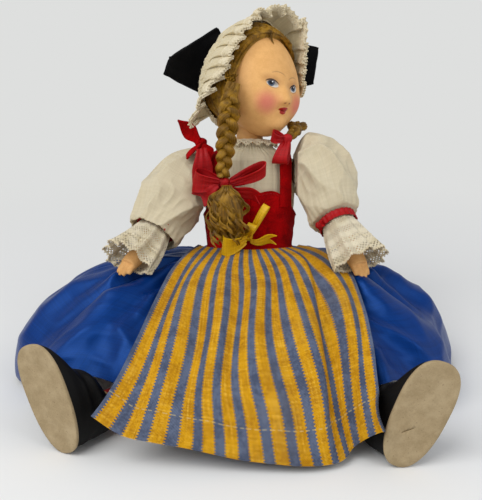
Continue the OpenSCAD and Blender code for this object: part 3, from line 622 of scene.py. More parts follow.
def draw_fuzz(t: Tree, given: Outputs, out: Inputs) -> None:
    """Draws the matted fibres of felt.

    Args:
        t: The group's tree.
        given: Its inputs.
        out: Its outputs.
    """
    fine = t.noise(given["Coordinate"], given["Scale"], 6.0, 0.75)
    matted = t.noise(given["Coordinate"], t.math("MULTIPLY", given["Scale"], 0.16), 4.0, 0.6)
    t.feed(out["Height"], t.math("ADD", fine, matted))
    t.feed(out["Shade"], t.math("MULTIPLY", t.math("ADD", fine, matted), 0.5))


def draw_aging(t: Tree, given: Outputs, out: Inputs) -> None:
    """Draws soft faded or soiled patches."""
    cloud = t.noise(given["Coordinate"], given["Scale"], 5.0, 0.6)
    t.feed(out["Mask"], t.smooth(cloud, given["Low"], given["High"]))


def draw_streaks(t: Tree, given: Outputs, out: Inputs) -> None:
    """Draws fine fibres that run along the second cloth coordinate.

    Args:
        t: The group's tree.
        given: Its inputs.
        out: Its outputs.
    """
    where = given["Coordinate"]
    hair = t.noise(t.stretched(where, given["Density"], 25.0), 1.0, 3.0, 0.65)
    sparse = t.math("MULTIPLY", given["Density"], 0.2)
    lock = t.noise(t.stretched(where, sparse, 12.0), 1.0, 2.0)
    both = t.math("ADD", t.math("MULTIPLY", hair, 0.6), t.math("MULTIPLY", lock, 0.4))
    t.feed(out["Height"], hair)
    t.feed(out["Shade"], t.smooth(both, 0.32, 0.68))


def draw_spot(t: Tree, given: Outputs, out: Inputs) -> None:
    """Draws one soft-edged oval touch of paint.

    Args:
        t: The group's tree.
        given: Its inputs.
        out: Its outputs.
    """
    both = {0: given["Coordinate"], 1: given["Centre"]}
    away = t.node("VectorMath", both, operation="SUBTRACT").outputs[0]
    angle = t.math("RADIANS", given["Turn"])
    level = t.node("VectorRotate", {"Vector": away, "Angle": angle}, rotation_type="Z_AXIS").outputs[0]
    share = t.node("VectorMath", {0: level, 1: given["Size"]}, operation="DIVIDE").outputs[0]
    x, y, _ = t.parts(share)
    far = t.math("SQRT", t.math("ADD", t.math("MULTIPLY", x, x), t.math("MULTIPLY", y, y)))
    low = t.math("SUBTRACT", 1.0, given["Softness"])
    t.feed(out["Mask"], t.math("SUBTRACT", 1.0, t.smooth(far, low, t.math("ADD", 1.0, given["Softness"]))))


def draw_stitches(t: Tree, given: Outputs, out: Inputs) -> None:
    """Draws a row of running stitches.

    Args:
        t: The group's tree.
        given: Its inputs.
        out: Its outputs.
    """
    x, y, _ = t.parts(given["Coordinate"])
    off = t.math("ABSOLUTE", t.math("SUBTRACT", y, given["Place"]))
    thread = t.math("SUBTRACT", 1.0, t.smooth(off, t.math("MULTIPLY", given["Width"], 0.6), given["Width"]))
    beat = t.math("SINE", t.math("MULTIPLY", t.math("DIVIDE", x, given["Pitch"]), 2 * math.pi))
    t.feed(out["Mask"], t.math("MULTIPLY", thread, t.smooth(beat, -0.5, -0.1)))


def draw_lace(t: Tree, given: Outputs, out: Inputs) -> None:
    """Draws a net of round holes with denser bands of thread across it.

    Args:
        t: The group's tree.
        given: Its inputs.
        out: Its outputs.
    """
    x, y, _ = t.parts(given["Coordinate"])
    x = t.math("MULTIPLY", t.math("DIVIDE", x, given["Pitch"]), 2 * math.pi)
    y = t.math("MULTIPLY", t.math("DIVIDE", y, given["Pitch"]), 2 * math.pi)
    net = t.math("MULTIPLY", t.math("SINE", x), t.math("SINE", y))
    band = t.math("SINE", t.math("MULTIPLY", y, 0.28))
    hole = t.smooth(t.math("SUBTRACT", net, t.math("MULTIPLY", t.smooth(band, -0.1, 0.5), 0.6)), 0.16, 0.36)
    t.feed(out["Thread"], t.math("SUBTRACT", 1.0, hole))
    twist = t.noise(given["Coordinate"], 2600.0, 2.0)
    t.feed(out["Height"], t.math("ADD", t.math("ABSOLUTE", net), t.math("MULTIPLY", twist, 0.6)))


FLOAT, VECTOR = "NodeSocketFloat", "NodeSocketVector"


class Effect(Enum):
    """The shared effects: a name, the inputs, the outputs and what draws them."""

    THREADS = ("Woven threads", {"Coordinate": VECTOR, "Warp": FLOAT, "Weft": FLOAT, "Twill": FLOAT},
               ("Height", "Shade"), draw_threads)
    FUZZ = ("Felt fuzz", {"Coordinate": VECTOR, "Scale": FLOAT}, ("Height", "Shade"), draw_fuzz)
    AGING = ("Faded patches", {"Coordinate": VECTOR, "Scale": FLOAT, "Low": FLOAT, "High": FLOAT},
             ("Mask",), draw_aging)
    STREAKS = ("Fibre streaks", {"Coordinate": VECTOR, "Density": FLOAT}, ("Height", "Shade"), draw_streaks)
    SPOT = ("Painted spot", {"Coordinate": VECTOR, "Centre": VECTOR, "Size": VECTOR, "Turn": FLOAT,
                             "Softness": FLOAT}, ("Mask",), draw_spot)
    STITCHES = ("Stitch row", {"Coordinate": VECTOR, "Place": FLOAT, "Pitch": FLOAT, "Width": FLOAT},
                ("Mask",), draw_stitches)
    LACE = ("Lace net", {"Coordinate": VECTOR, "Pitch": FLOAT}, ("Thread", "Height"), draw_lace)

    def group(self) -> bpy.types.NodeTree:
        """Builds the effect's node group once.

        Returns:
            The node group.
        """
        name, inputs, outputs, draw = self.value
        found = bpy.data.node_groups.get(name)
        if found:
            return found
        made = bpy.data.node_groups.new(name, "ShaderNodeTree")
        for key, kind in inputs.items():
            made.interface.new_socket(key, in_out="INPUT", socket_type=kind)
        for key in outputs:
            made.interface.new_socket(key, in_out="OUTPUT", socket_type=FLOAT)
        enter, leave = made.nodes.new("NodeGroupInput"), made.nodes.new("NodeGroupOutput")
        draw(Tree(made), enter.outputs, leave.inputs)
        return made


def linear(colour: Colour) -> tuple[float, float, float, float]:
    """Turns a screen colour of 0 to 255 into the linear colour that shaders take."""
    shares = [c / 255 for c in colour]
    return (*(s / 12.92 if s <= 0.04045 else ((s + 0.055) / 1.055) ** 2.4 for s in shares), 1.0)


@dataclass(frozen=True)
class Finish:
    """A surface finish: its main colour, a second one that it varies to, and how it shines.

    Its patches of fading or soil are given by their scale and the two limits of their noise.
    """

    name: str
    colour: Colour
    second: Colour
    roughness: float = 0.85
    sheen: float = 0.0
    shine: float = 0.3
    relief: float = 0.15
    depth: float = 0.4 * MM
    thin: float = 0.0
    gleam: Colour = (255, 255, 255)
    patches: Patches = (60.0, 0.45, 0.7)

    def material(self) -> bpy.types.Material:
        """Builds the finish's material once.

        Returns:
            The material.
        """
        found = bpy.data.materials.get(self.name)
        if found:
            return found
        made = bpy.data.materials.new(self.name)
        made.use_nodes = True
        shader = made.node_tree.nodes["Principled BSDF"]
        values = {
            "Roughness": self.roughness, "Specular IOR Level": self.shine,
            "Specular Tint": linear(self.gleam), "Sheen Weight": self.sheen, "Sheen Roughness": 0.45,
            "Sheen Tint": linear(tuple(mix(c, 255, 0.35) for c in self.colour)),
            "Subsurface Weight": self.thin, "Subsurface Scale": 1.2 * MM,
            "Subsurface Radius": (1.0, 0.95, 0.85)}
        for socket, value in values.items():
            shader.inputs[socket].default_value = value
        self.paint(Tree(made.node_tree), shader)
        return made

    def paint(self, t: Tree, shader: Node) -> None:
        """Wires the finish's own nodes into its shader."""
        raise NotImplementedError

    def shaded(self, t: Tree, shade: Socket) -> Socket:
        """Goes from the second colour to the main one by a shade."""
        return t.mix(shade, linear(self.second), linear(self.colour))

    def cover(self, t: Tree, shader: Node, tone: Socket, height: Socket) -> None:
        """Feeds a colour and a relief to the shader.

        Args:
            t: The material's tree.
            shader: Its shader.
            tone: The colour.
            height: Height of the relief.
        """
        bump = t.node("Bump", {"Strength": self.relief, "Distance": self.depth, "Height": height})
        t.feed(shader.inputs["Base Color"], tone)
        t.feed(shader.inputs["Normal"], bump.outputs[0])


@dataclass(frozen=True)
class WovenFinish(Finish):
    """Woven cloth, soiled in patches, where it is rougher too."""

    warp: float = 1500.0
    weft: float = 1300.0
    twill: float = 0.0
    soil: Colour = (170, 150, 120)
    soiled: float = 0.25
    patches: Patches = (38.0, 0.48, 0.72)

    def paint(self, t: Tree, shader: Node) -> None:
        """Wires threads, slubs and soil.

        Args:
            t: The material's tree.
            shader: Its shader.
        """
        weave = t.effect(Effect.THREADS, Coordinate=t.cloth(), Warp=self.warp, Weft=self.weft,
                         Twill=self.twill)
        old = t.patched(self.patches)
        shade = t.math("ADD", t.math("MULTIPLY", weave["Height"], 0.35), weave["Shade"])
        tone = self.shaded(t, t.smooth(shade, 0.42, 0.95))
        rough = t.node("Math", {0: old, 1: 0.12, 2: self.roughness}, operation="MULTIPLY_ADD").outputs[0]
        t.feed(shader.inputs["Roughness"], rough)
        height = t.math("ADD", weave["Height"], weave["Shade"])
        self.cover(t, shader, t.tinted(tone, old, self.soiled, self.soil), height)


@dataclass(frozen=True)
class FeltFinish(Finish):
    """Matted felt, rubbed paler in places."""

    scale: float = 900.0
    worn: Colour = (200, 180, 160)
    wear: float = 0.15
    patches: Patches = (60.0, 0.5, 0.75)

    def paint(self, t: Tree, shader: Node) -> None:
        """Wires fuzz and wear.

        Args:
            t: The material's tree.
            shader: Its shader.
        """
        fuzz = t.effect(Effect.FUZZ, Coordinate=t.space(), Scale=self.scale)
        tone = self.shaded(t, t.smooth(fuzz["Shade"], 0.36, 0.64))
        tone = t.tinted(tone, t.patched(self.patches), self.wear, self.worn)
        self.cover(t, shader, tone, fuzz["Height"])


@dataclass(frozen=True)
class MohairFinish(Finish):
    """Combed fibres whose colour changes from lock to lock."""

    pale: Colour = (226, 190, 122)
    paler: float = 0.5
    density: float = 2600.0
    combed: bool = True
    patches: Patches = (150.0, 0.42, 0.66)

    def paint(self, t: Tree, shader: Node) -> None:
        """Wires fibre streaks and paler locks.

        Args:
            t: The material's tree.
            shader: Its shader.
        """
        along = t.cloth() if self.combed else t.space()
        fibre = t.effect(Effect.STREAKS, Coordinate=along, Density=self.density)
        tone = self.shaded(t, fibre["Shade"])
        tone = t.tinted(tone, t.patched(self.patches), self.paler, self.pale)
        self.cover(t, shader, tone, fibre["Height"])


@dataclass(frozen=True)
class LaceFinish(Finish):
    """Open lace: holes in a net of cotton thread."""

    pitch: float = 2.4 * MM
    patches: Patches = (70.0, 0.45, 0.7)

    def paint(self, t: Tree, shader: Node) -> None:
        """Wires the net's holes, thread and soil.

        Args:
            t: The material's tree.
            shader: Its shader.
        """
        net = t.effect(Effect.LACE, Coordinate=t.cloth(), Pitch=self.pitch)
        tone = t.mix(t.patched(self.patches), linear(self.colour), linear(self.second))
        t.feed(shader.inputs["Alpha"], net["Thread"])
        self.cover(t, shader, tone, net["Height"])


@dataclass(frozen=True)
class StripeFinish(Finish):
    """The apron's cloth: ribbed stripes whose edges step in and out, on a twilled ground."""

    pitch: float = 152 / 14 * MM
    share: float = 0.56
    blur: float = 0.02
    tooth: float = 1.7 * MM
    step: float = 0.07
    threads: float = 1150.0
    flecks: float = 620.0
    gold_deep: Colour = (152, 98, 3)
    gold_pale: Colour = (232, 182, 60)
    slate_deep: Colour = (50, 58, 80)
    soil: Colour = (120, 105, 84)
    hem: float = 0.0
    stitch: float = 3.4 * MM
    thread: Colour = (206, 190, 140)
    patches: Patches = (32.0, 0.5, 0.75)

    def paint(self, t: Tree, shader: Node) -> None:
        """Wires stripes, threads, the hem's stitches and soil.

        Args:
            t: The material's tree.
            shader: Its shader.
        """
        cloth = t.cloth()
        x, y, _ = t.parts(cloth)
        saw = t.smooth(t.math("PINGPONG", t.math("DIVIDE", y, self.tooth), 0.5), 0.18, 0.32)
        step = t.math("MULTIPLY", t.math("SUBTRACT", saw, 0.5), self.step)
        swing = t.math("ADD", t.math("PINGPONG", t.math("DIVIDE", x, self.pitch), 0.5), step)
        edge = 0.5 - self.share / 2
        stripe = t.smooth(swing, edge - self.blur, edge + self.blur)
        weave = t.effect(Effect.THREADS, Coordinate=cloth, Warp=self.threads, Weft=self.threads, Twill=1.0)
        flecks = t.effect(Effect.FUZZ, Coordinate=t.space(), Scale=self.flecks)
        deep = t.math("ADD", weave["Height"], t.smooth(flecks["Shade"], 0.4, 0.6))
        deep = t.math("MULTIPLY", deep, 0.5)
        gold = t.mix(deep, linear(self.gold_deep), linear(self.colour))
        gold = t.mix(t.smooth(weave["Shade"], 0.46, 0.8), gold, linear(self.gold_pale))
        tone = t.mix(stripe, t.mix(deep, linear(self.slate_deep), linear(self.second)), gold)
        row = t.effect(Effect.STITCHES, Coordinate=cloth, Place=self.hem, Pitch=self.stitch, Width=0.42 * MM)
        tone = t.tinted(tone, row["Mask"], 0.4, self.thread)
        tone = t.tinted(tone, t.patched(self.patches), 0.16, self.soil)
        ribs = t.math("ADD", weave["Height"], t.math("MULTIPLY", stripe, 0.8))
        self.cover(t, shader, tone, t.math("SUBTRACT", ribs, row["Mask"]))


@dataclass(frozen=True)
class Touch:
    """One touch of the face's paint, placed in degrees across and up the face."""

    colour: Colour
    centre: tuple[float, float]
    size: tuple[float, float]
    turn: float = 0.0
    soft: float = 0.15
    strength: float = 1.0
    less: tuple[float, float, float, float] | None = None
    opening: bool = False
    inside: bool = False


@dataclass(frozen=True)
class FaceFinish(Finish):
    """Painted felt: skin with rouge, glancing eyes, thin brows and a small bowed mouth."""

    middle: float = 1.5
    eye: tuple[float, float] = (17.6, 3.8)
    lean: float = 1.8
    slant: float = 18.0
    glance: tuple[float, float] = (-1.6, 1.2)
    mouth: float = -24.8
    fuzz: float = 1400.0
    aged: Colour = (196, 136, 76)
    gloss: float = 0.28
    patches: Patches = (45.0, 0.42, 0.7)

    def touches(self) -> list[Touch]:
        """Lists the touches of paint in the order in which they are laid on; among them are painted shade
        under each upper lid and painted highlights in the eyes and on the lower lip.

        Returns:
            The touches.
        """
        rouge, lip, dark, mid = (206, 80, 92), (160, 22, 22), (46, 30, 22), self.middle
        laid = []
        for side in (-1, 1):
            x, y = mid + side * self.eye[0], self.eye[1] - side * self.lean
            gx, gy, slant = x + self.glance[0], y + self.glance[1], -side * self.slant
            brow = (mid + 5 + side * 13, 13.0 - side * 2)
            laid += [
                Touch(rouge, (mid + side * 25, -16.5), (12.0, 11.5), soft=0.8, strength=0.66),
                Touch((140, 84, 46), (x, y + 4.6), (11.0, 5.0), turn=slant, soft=0.8, strength=0.45),
                Touch((206, 202, 194), (x, y), (7.9, 3.6), turn=slant, soft=0.12, opening=True),
                # painted shade: grey across the top of the eye's white, where the upper lid's shadow falls
                Touch((84, 76, 72), (x - 0.8, y + 2.2), (8.4, 3.2), turn=slant, soft=0.5, strength=0.7,
                      inside=True),
                Touch((58, 74, 94), (gx, gy), (4.2, 4.1), soft=0.14, inside=True),
                # painted shade: the top of the iris darkened under the upper lid
                Touch((30, 40, 56), (gx, gy + 1.4), (4.3, 2.8), soft=0.5, strength=0.8, inside=True),
                Touch((10, 10, 14), (gx, gy + 0.2), (2.3, 2.2), soft=0.2, inside=True),
                # painted highlight: a white glint in each eye
                Touch((236, 238, 240), (gx + 1.3, gy + 1.2), (0.75, 0.7), soft=0.3, inside=True),
                Touch(dark, (x, y + 1.0), (9.2, 4.7), turn=slant, soft=0.1, less=(x, y - 0.6, 9.7, 4.3)),
                Touch((128, 80, 48), (x, y - 0.4), (8.4, 4.4), turn=slant, soft=0.12, strength=0.5,
                      less=(x, y + 0.8, 9.2, 4.6)),
                Touch((122, 78, 40), brow, (11.5, 6.0), turn=-side * 10, soft=0.14, strength=0.65,
                      less=(brow[0], brow[1] - 0.9, 12.3, 5.9)),
                Touch((140, 66, 40), (side * 2.9, -15.4), (1.5, 0.9), soft=0.5, strength=0.7),
                Touch(lip, (mid + side * 3, self.mouth + 1.9), (4.5, 2.3), turn=side * 14, soft=0.16),
            ]
        laid += [
            Touch(lip, (mid, self.mouth - 1.8), (5.2, 2.8), soft=0.16),
            # painted highlight on the middle of the lower lip
            Touch((206, 84, 78), (mid + 0.6, self.mouth - 2.2), (2.6, 1.0), soft=0.7, strength=0.45),
            Touch((92, 12, 12), (mid, self.mouth + 0.1), (6.2, 0.55), soft=0.4, strength=0.8),
        ]
        return laid

    def mask(self, t: Tree, face: Socket, touch: Touch) -> Socket:
        """Draws where one touch lies.

        Args:
            t: The material's tree.
            face: The coordinate on the face.
            touch: The touch.

        Returns:
            The mask, before its strength.
        """
        shapes = [(*touch.centre, *touch.size)] + ([touch.less] if touch.less else [])
        spots = [t.effect(Effect.SPOT, Coordinate=face, Centre=(x, y, 0), Size=(a, b, 1), Turn=touch.turn,
                          Softness=touch.soft)["Mask"] for x, y, a, b in shapes]
        return t.math("SUBTRACT", *spots, clamp=True) if touch.less else spots[0]

    def paint(self, t: Tree, shader: Node) -> None:
        """Wires felt, then each touch of paint, which is glossier than the felt.

        Args:
            t: The material's tree.
            shader: Its shader.
        """
        face = t.cloth()
        fuzz = t.effect(Effect.FUZZ, Coordinate=t.space(), Scale=self.fuzz)
        tone = self.shaded(t, t.smooth(fuzz["Shade"], 0.35, 0.65))
        tone = t.tinted(tone, t.patched(self.patches), 0.1, self.aged)
        gloss, eye = None, None
        for touch in self.touches():
            where = self.mask(t, face, touch)
            if touch.inside:
                where = t.math("MULTIPLY", where, eye)
            elif touch.opening:
                eye = where
            if touch.soft < 0.5:
                gloss = where if gloss is None else t.math("MAXIMUM", gloss, where)
            tone = t.tinted(tone, where, touch.strength, touch.colour)
        smoother = t.math("MULTIPLY", gloss, self.gloss)
        t.feed(shader.inputs["Roughness"], t.math("SUBTRACT", self.roughness, smoother))
        self.cover(t, shader, tone, fuzz["Height"])


@dataclass(frozen=True)
class CardFinish(Finish):
    """Pressed card or fibre board with specks and scuffs."""

    speck: Colour = (118, 102, 84)
    scuff: Colour = (196, 186, 170)
    scale: float = 1100.0
    patches: Patches = (90.0, 0.45, 0.7)
    specks: Patches = (900.0, 0.62, 0.7)

    def paint(self, t: Tree, shader: Node) -> None:
        """Wires mottling, specks and scuffs.

        Args:
            t: The material's tree.
            shader: Its shader.
        """
        fuzz = t.effect(Effect.FUZZ, Coordinate=t.space(), Scale=self.scale)
        tone = self.shaded(t, t.smooth(fuzz["Shade"], 0.35, 0.65))
        tone = t.tinted(tone, t.patched(self.patches), 0.35, self.scuff)
        tone = t.tinted(tone, t.patched(self.specks), 0.7, self.speck)
        self.cover(t, shader, tone, fuzz["Height"])


@dataclass(frozen=True)
class KnitFinish(Finish):
    """Ribbed knit of the stockings."""

    ribs: float = 900.0
    worn: Colour = (196, 110, 96)
    wear: float = 0.2
    patches: Patches = (60.0, 0.45, 0.72)

    def paint(self, t: Tree, shader: Node) -> None:
        """Wires ribs, loops and wear.

        Args:
            t: The material's tree.
            shader: Its shader.
        """
        knit = t.effect(Effect.THREADS, Coordinate=t.cloth(), Warp=self.ribs, Weft=self.ribs * 0.9, Twill=0.0)
        tone = self.shaded(t, t.smooth(knit["Height"], 0.2, 0.9))
        tone = t.tinted(tone, t.patched(self.patches), self.wear, self.worn)
        self.cover(t, shader, tone, knit["Height"])


@dataclass(frozen=True)
class WireFinish(Finish):
    """Drawn wire, scratched and a little tarnished."""

    scratches: float = 3000.0
    patches: Patches = (400.0, 0.45, 0.7)

    def paint(self, t: Tree, shader: Node) -> None:
        """Wires scratches and tarnish.

        Args:
            t: The material's tree.
            shader: Its shader.
        """
        rub = t.effect(Effect.STREAKS, Coordinate=t.space(), Density=self.scratches)
        tone = t.mix(t.patched(self.patches), linear(self.colour), linear(self.second))
        t.feed(shader.inputs["Base Color"], tone)
        shader.inputs["Metallic"].default_value = 1.0
        t.feed(shader.inputs["Roughness"], t.smooth(rub["Shade"], -0.4, 1.8))


@dataclass(frozen=True)
class FloorFinish(Finish):
    """Pale floor that runs out into the background's even tone away from the doll."""

    near: float = 0.16
    far: float = 0.6

    def paint(self, t: Tree, shader: Node) -> None:
        """Wires the floor's fading, which only the camera sees.

        Args:
            t: The material's tree.
            shader: Its shader.
        """
        away = t.node("VectorMath", {0: t.space()}, operation="LENGTH").outputs["Value"]
        seen = t.node("LightPath").outputs["Is Camera Ray"]
        fade = t.math("MULTIPLY", t.smooth(away, self.near, self.far), seen)
        t.feed(shader.inputs["Base Color"], t.mix(fade, linear(self.colour), linear((0, 0, 0))))
        shader.inputs["Emission Color"].default_value = linear(self.second)
        t.feed(shader.inputs["Emission Strength"], fade)


CREAM = WovenFinish("Cream blouse cotton", (212, 200, 172), (198, 185, 155), 0.85, 0.05, 0.2, 0.2,
                    thin=0.25)
BODY_COTTON = WovenFinish("Body cotton", (226, 206, 176), (196, 172, 140), 0.9, 0.1, 0.2, 0.3, warp=1100.0,
                          weft=1100.0)
WHITE = WovenFinish("Petticoat cotton", (236, 233, 226), (208, 204, 196), 0.85, 0.2, 0.25, 0.25, soiled=0.2)
CAP_LAWN = WovenFinish("Cap lawn", (220, 207, 174), (200, 184, 147), 0.85, 0.05, 0.2, 0.3, thin=0.3)
SATIN = WovenFinish("Blue satin", (1, 50, 120), (0, 29, 82), 0.34, 0.0, 0.8, 0.14, gleam=(90, 150, 255),
                    warp=1900.0, weft=1500.0, twill=0.6, soil=(6, 58, 130), soiled=0.3)
RED_RIBBON = WovenFinish("Red ribbon", (188, 6, 14), (140, 3, 8), 0.5, 0.0, 0.25, 0.2, warp=2000.0,
                         soil=(120, 4, 8))
YELLOW_RIBBON = WovenFinish("Yellow ribbon", (234, 190, 8), (200, 150, 4), 0.45, 0.1, 0.4, 0.2, warp=2000.0,
                            soil=(190, 140, 10))
RED_FELT = FeltFinish("Red felt", (174, 4, 8), (124, 2, 4), 0.95, 0.05, 0.08, 0.5, worn=(190, 40, 40),
                      wear=0.1)
BLACK_FELT = FeltFinish("Black felt", (9, 9, 11), (4, 4, 5), 0.95, 0.08, 0.12, 0.5, worn=(34, 32, 30))
SHOE_BLACK = FeltFinish("Shoe cloth", (8, 7, 6), (4, 3, 3), 0.6, 0.0, 0.2, 0.35, worn=(36, 31, 26))
SKIN = FeltFinish("Skin felt", (228, 176, 112), (208, 154, 92), 0.8, 0.1, 0.25, 0.2, scale=1400.0,
                  worn=(186, 130, 76), wear=0.2)
FACE = FaceFinish("Painted face", (232, 178, 110), (220, 164, 96), 0.55, 0.05, 0.35, 0.1)
HAIR = MohairFinish("Blond mohair", (148, 106, 22), (68, 45, 3), 0.45, 0.0, 0.25, 0.5, pale=(196, 148, 44))
CURLS = MohairFinish("Curled mohair", (138, 97, 14), (60, 39, 2), 0.42, 0.0, 0.3, 0.5, pale=(188, 142, 40))
LACE = LaceFinish("Cotton lace", (228, 217, 190), (204, 190, 156), 0.9, 0.1, 0.2, 0.5)
LACE_CORD = FeltFinish("Lace thread", (232, 221, 194), (202, 187, 152), 0.9, 0.1, 0.2, 0.5, scale=1800.0,
                       worn=(190, 174, 140))
CARD = CardFinish("Sole card", (172, 151, 116), (154, 134, 100), 0.85, 0.0, 0.3, 0.3, speck=(120, 100, 74),
                  scuff=(194, 174, 140))
FIBRE = CardFinish("Disc fibre", (120, 84, 56), (92, 62, 40), 0.8, 0.0, 0.3, 0.3, speck=(70, 46, 30),
                   scuff=(150, 112, 80))
PEG_WOOD = MohairFinish("Peg wood", (196, 160, 112), (160, 122, 78), 0.7, 0.0, 0.3, 0.2,
                        pale=(208, 176, 130), density=900.0, combed=False)
STOCKING = KnitFinish("Red stocking", (176, 30, 36), (118, 16, 22), 0.85, 0.3, 0.25, 0.4)
WIRE = WireFinish("Pin wire", (176, 172, 164), (112, 104, 92), 0.4)
SHOE_EDGE = FeltFinish("Shoe edge", (178, 146, 104), (146, 114, 76), 0.85, 0.1, 0.2, 0.4, scale=1400.0)
FLOOR = FloorFinish("Pale floor", (236, 236, 234), (222, 223, 222), 0.9, shine=0.0)


@dataclass(frozen=True)
class Cut:
    """How a cloth was cut and held: its flat size in metres and what it lies on."""

    flat: tuple[float, float]
    held: str
    rests_on: tuple[str, ...] = ()
    area: float | None = None


def hand_over(piece: Piece, body: str, nodes: Sequence[str] = (),
              other: str = "") -> None:
    """Puts a finished piece on its body, or leaves it in the frame if it lies between two, and says what it
    is.

    Args:
        piece: The piece, in place.
        body: The body that it rides on, or the first of the two that it lies between.
        nodes: The CAD nodes that it stands for.
        other: The second body, if the piece lies between two; it then stays in the frame, on neither body.
    """
    if other:
        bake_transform(piece)
    else:
        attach(piece, body)
    if nodes:
        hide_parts(*nodes)
    LOG.info("%s on %s, %d faces", piece.name, body, len(piece.data.polygons))


def applied(piece: Piece, modifier: bpy.types.Modifier) -> None:
    """Bakes a modifier into its piece's mesh.

    Args:
        piece: The piece.
        modifier: Its modifier.
    """
    bpy.context.view_layer.update()
    graph = bpy.context.evaluated_depsgraph_get()
    shown = piece.evaluated_get(graph)
    mesh = bpy.data.meshes.new_from_object(shown, preserve_all_data_layers=True, depsgraph=graph)
    piece.modifiers.remove(modifier)
    piece.data = mesh
    mesh.shade_smooth()


def welded(piece: Piece, voxel: float, smooth_rounds: int = 4) -> None:
    """Welds a piece's overlapping solids into one skin and rounds where they meet.

    Args:
        piece: The piece.
        voxel: Size of the cells that it is rebuilt from.
        smooth_rounds: How often it is smoothed.
    """
    remesh = piece.modifiers.new("Weld", "REMESH")
    remesh.mode = "VOXEL"
    remesh.voxel_size = voxel * MM
    applied(piece, remesh)
    soft = piece.modifiers.new("Soften", "SMOOTH")
    soft.factor = 0.5
    soft.iterations = smooth_rounds
    applied(piece, soft)


def carved(piece: Piece, cutter: Piece) -> None:
    """Cuts one piece's solid out of another and removes the cutter.

    Args:
        piece: The piece that is cut.
        cutter: The other one.
    """
    cut = piece.modifiers.new("Carve", "BOOLEAN")
    cut.operation = "DIFFERENCE"
    cut.object = cutter
    applied(piece, cut)
    bpy.data.objects.remove(cutter)


@dataclass
class BodyForm:
    """The stuffed body's form, which the upper clothing follows layer on layer."""

    height: float = 138.0
    lean: float = 15.0
    waist_z: float = 74.0
    chest_half: float = 27.5
    stations: Stations = ((0, 30, 22), (22, 37, 28), (74, 24, 16.5), (113, 28.5, 18.5), (127, 27.5, 17.5),
                          (138, 13, 10.5))

    def sway(self, z: Value) -> Array:
        """How far back the middle of the body lies at height z."""
        z = np.asarray(z, float)
        return math.tan(math.radians(self.lean)) * z * ease(z / self.waist_z)

    def tilt(self, z: Value) -> Array:
        """How far the body leans back at height z, in degrees."""
        return self.lean * ease(np.asarray(z, float) / self.waist_z)

    def point(self, z: Value, phi: Value, off: Value = 0.0) -> Array:
        """Gives points that stand off the body.

        Args:
            z: Height along the body.
            phi: Turn about it, 270 at the front.
            off: Distance from its surface.

        Returns:
            The points.
        """
        a, b = eased(z, self.stations, 1) + off, eased(z, self.stations, 2) + off
        side = np.where(np.asarray(z) > self.waist_z, self.chest_half + off, 1e3)
        x = np.clip(a * cosd(phi), -side, side)
        t = self.tilt(z)
        return stacked(x, self.sway(z) + b * sind(phi) * cosd(t), z - b * sind(phi) * sind(t))

    @property
    def neck(self) -> Array:
        """Frame of the neck joint."""
        return shifted(0, float(self.sway(self.height)), self.height) @ turned("x", -self.lean)


@dataclass(frozen=True)
class Hips:
    """Where the hip pins stand and how the legs splay, which the body, the legs and the dress share."""

    x: float = 19.0
    forward: float = 8.0
    shoe_rim: float = 95.8

    @staticmethod
    def splay(side: Side) -> float:
        """Angle of one leg from straight ahead."""
        return 40.0 if side is Side.RIGHT else 28.0

    def place(self, side: Side) -> Array:
        """Frame of one hip, laid out on the left; Side.faced takes it to its own side."""
        return shifted(self.x, -self.forward, 0) @ turned("z", self.splay(side))


BODY = BodyForm()
HIPS = Hips()
SHOULDER = (30.8, 32.15, 120.0)
AT_HEAD = BODY.neck @ shifted(3, 0, 32) @ turned("z", 38)


def ribbon_loop(skin: Skin, start: Point, way: Point, across: Point, length: float, width: float,
                fat: float) -> None:
    """Adds a ribbon loop that leaves its knot and comes back to it.

    Args:
        skin: The piece to add it to.
        start: Where it leaves the knot.
        way: The direction in which it reaches.
        across: The direction across the ribbon.
        length: How far it reaches.
        width: Width of the ribbon.
        fat: How far its two sides part.
    """
    w, a = unit(np.array(way, float)), unit(np.array(across, float))
    side = unit(np.cross(w, a))
    t, e = per_row(0, 1, 48), per_col(-1, 1, 11)
    loop_open, pinch = 0.055, 0.5
    turn = mix(loop_open, 1 - loop_open, t)
    root = math.sin(math.pi * loop_open)
    reach = length * (arch(turn) - root) / (1 - root)
    swing = fat * np.sin(2 * np.pi * turn) * (1 + 0.25 * arch(t))
    half = width / 2 * mix(pinch, 1, arch(t) ** 0.8)
    crimp = 0.5 * np.cos(3 * np.pi * e) * (1 - arch(t))
    cup = 0.8 * e**2 * np.sin(2 * np.pi * turn)
    middle = np.array(start, float) + reach[..., None] * w
    skin.shell(middle + (swing + crimp + cup)[..., None] * side + (half * e)[..., None] * a, RIBBON_THICK)


def ribbon_tail(skin: Skin, start: Point, end: Point, across: Point, width: float,
                notch: float = 0.2) -> None:
    """Adds a waved ribbon tail with a notched end.

    Args:
        skin: The piece to add it to.
        start: Where it leaves the knot.
        end: Where it ends.
        across: The direction across the ribbon.
        width: Width of the ribbon.
        notch: Depth of its notch, as a share of its length.
    """
    start, end = np.array(start, float), np.array(end, float)
    a = unit(np.array(across, float))
    side = unit(np.cross(end - start, a))
    t, e = per_row(0, 1, 30), per_col(-1, 1, 13)
    go = t * (1 - notch * (1 - np.abs(e)) * t**3)
    half = width / 2 * mix(0.5, 1, ease(t * 1.6))
    lift = 1.5 * np.sin(2 * np.pi * go) + 0.35 * np.cos(2.5 * np.pi * e) * (1 - t)
    middle = start + go[..., None] * (end - start)
    skin.shell(middle + lift[..., None] * side + (half * e)[..., None] * a, RIBBON_THICK)


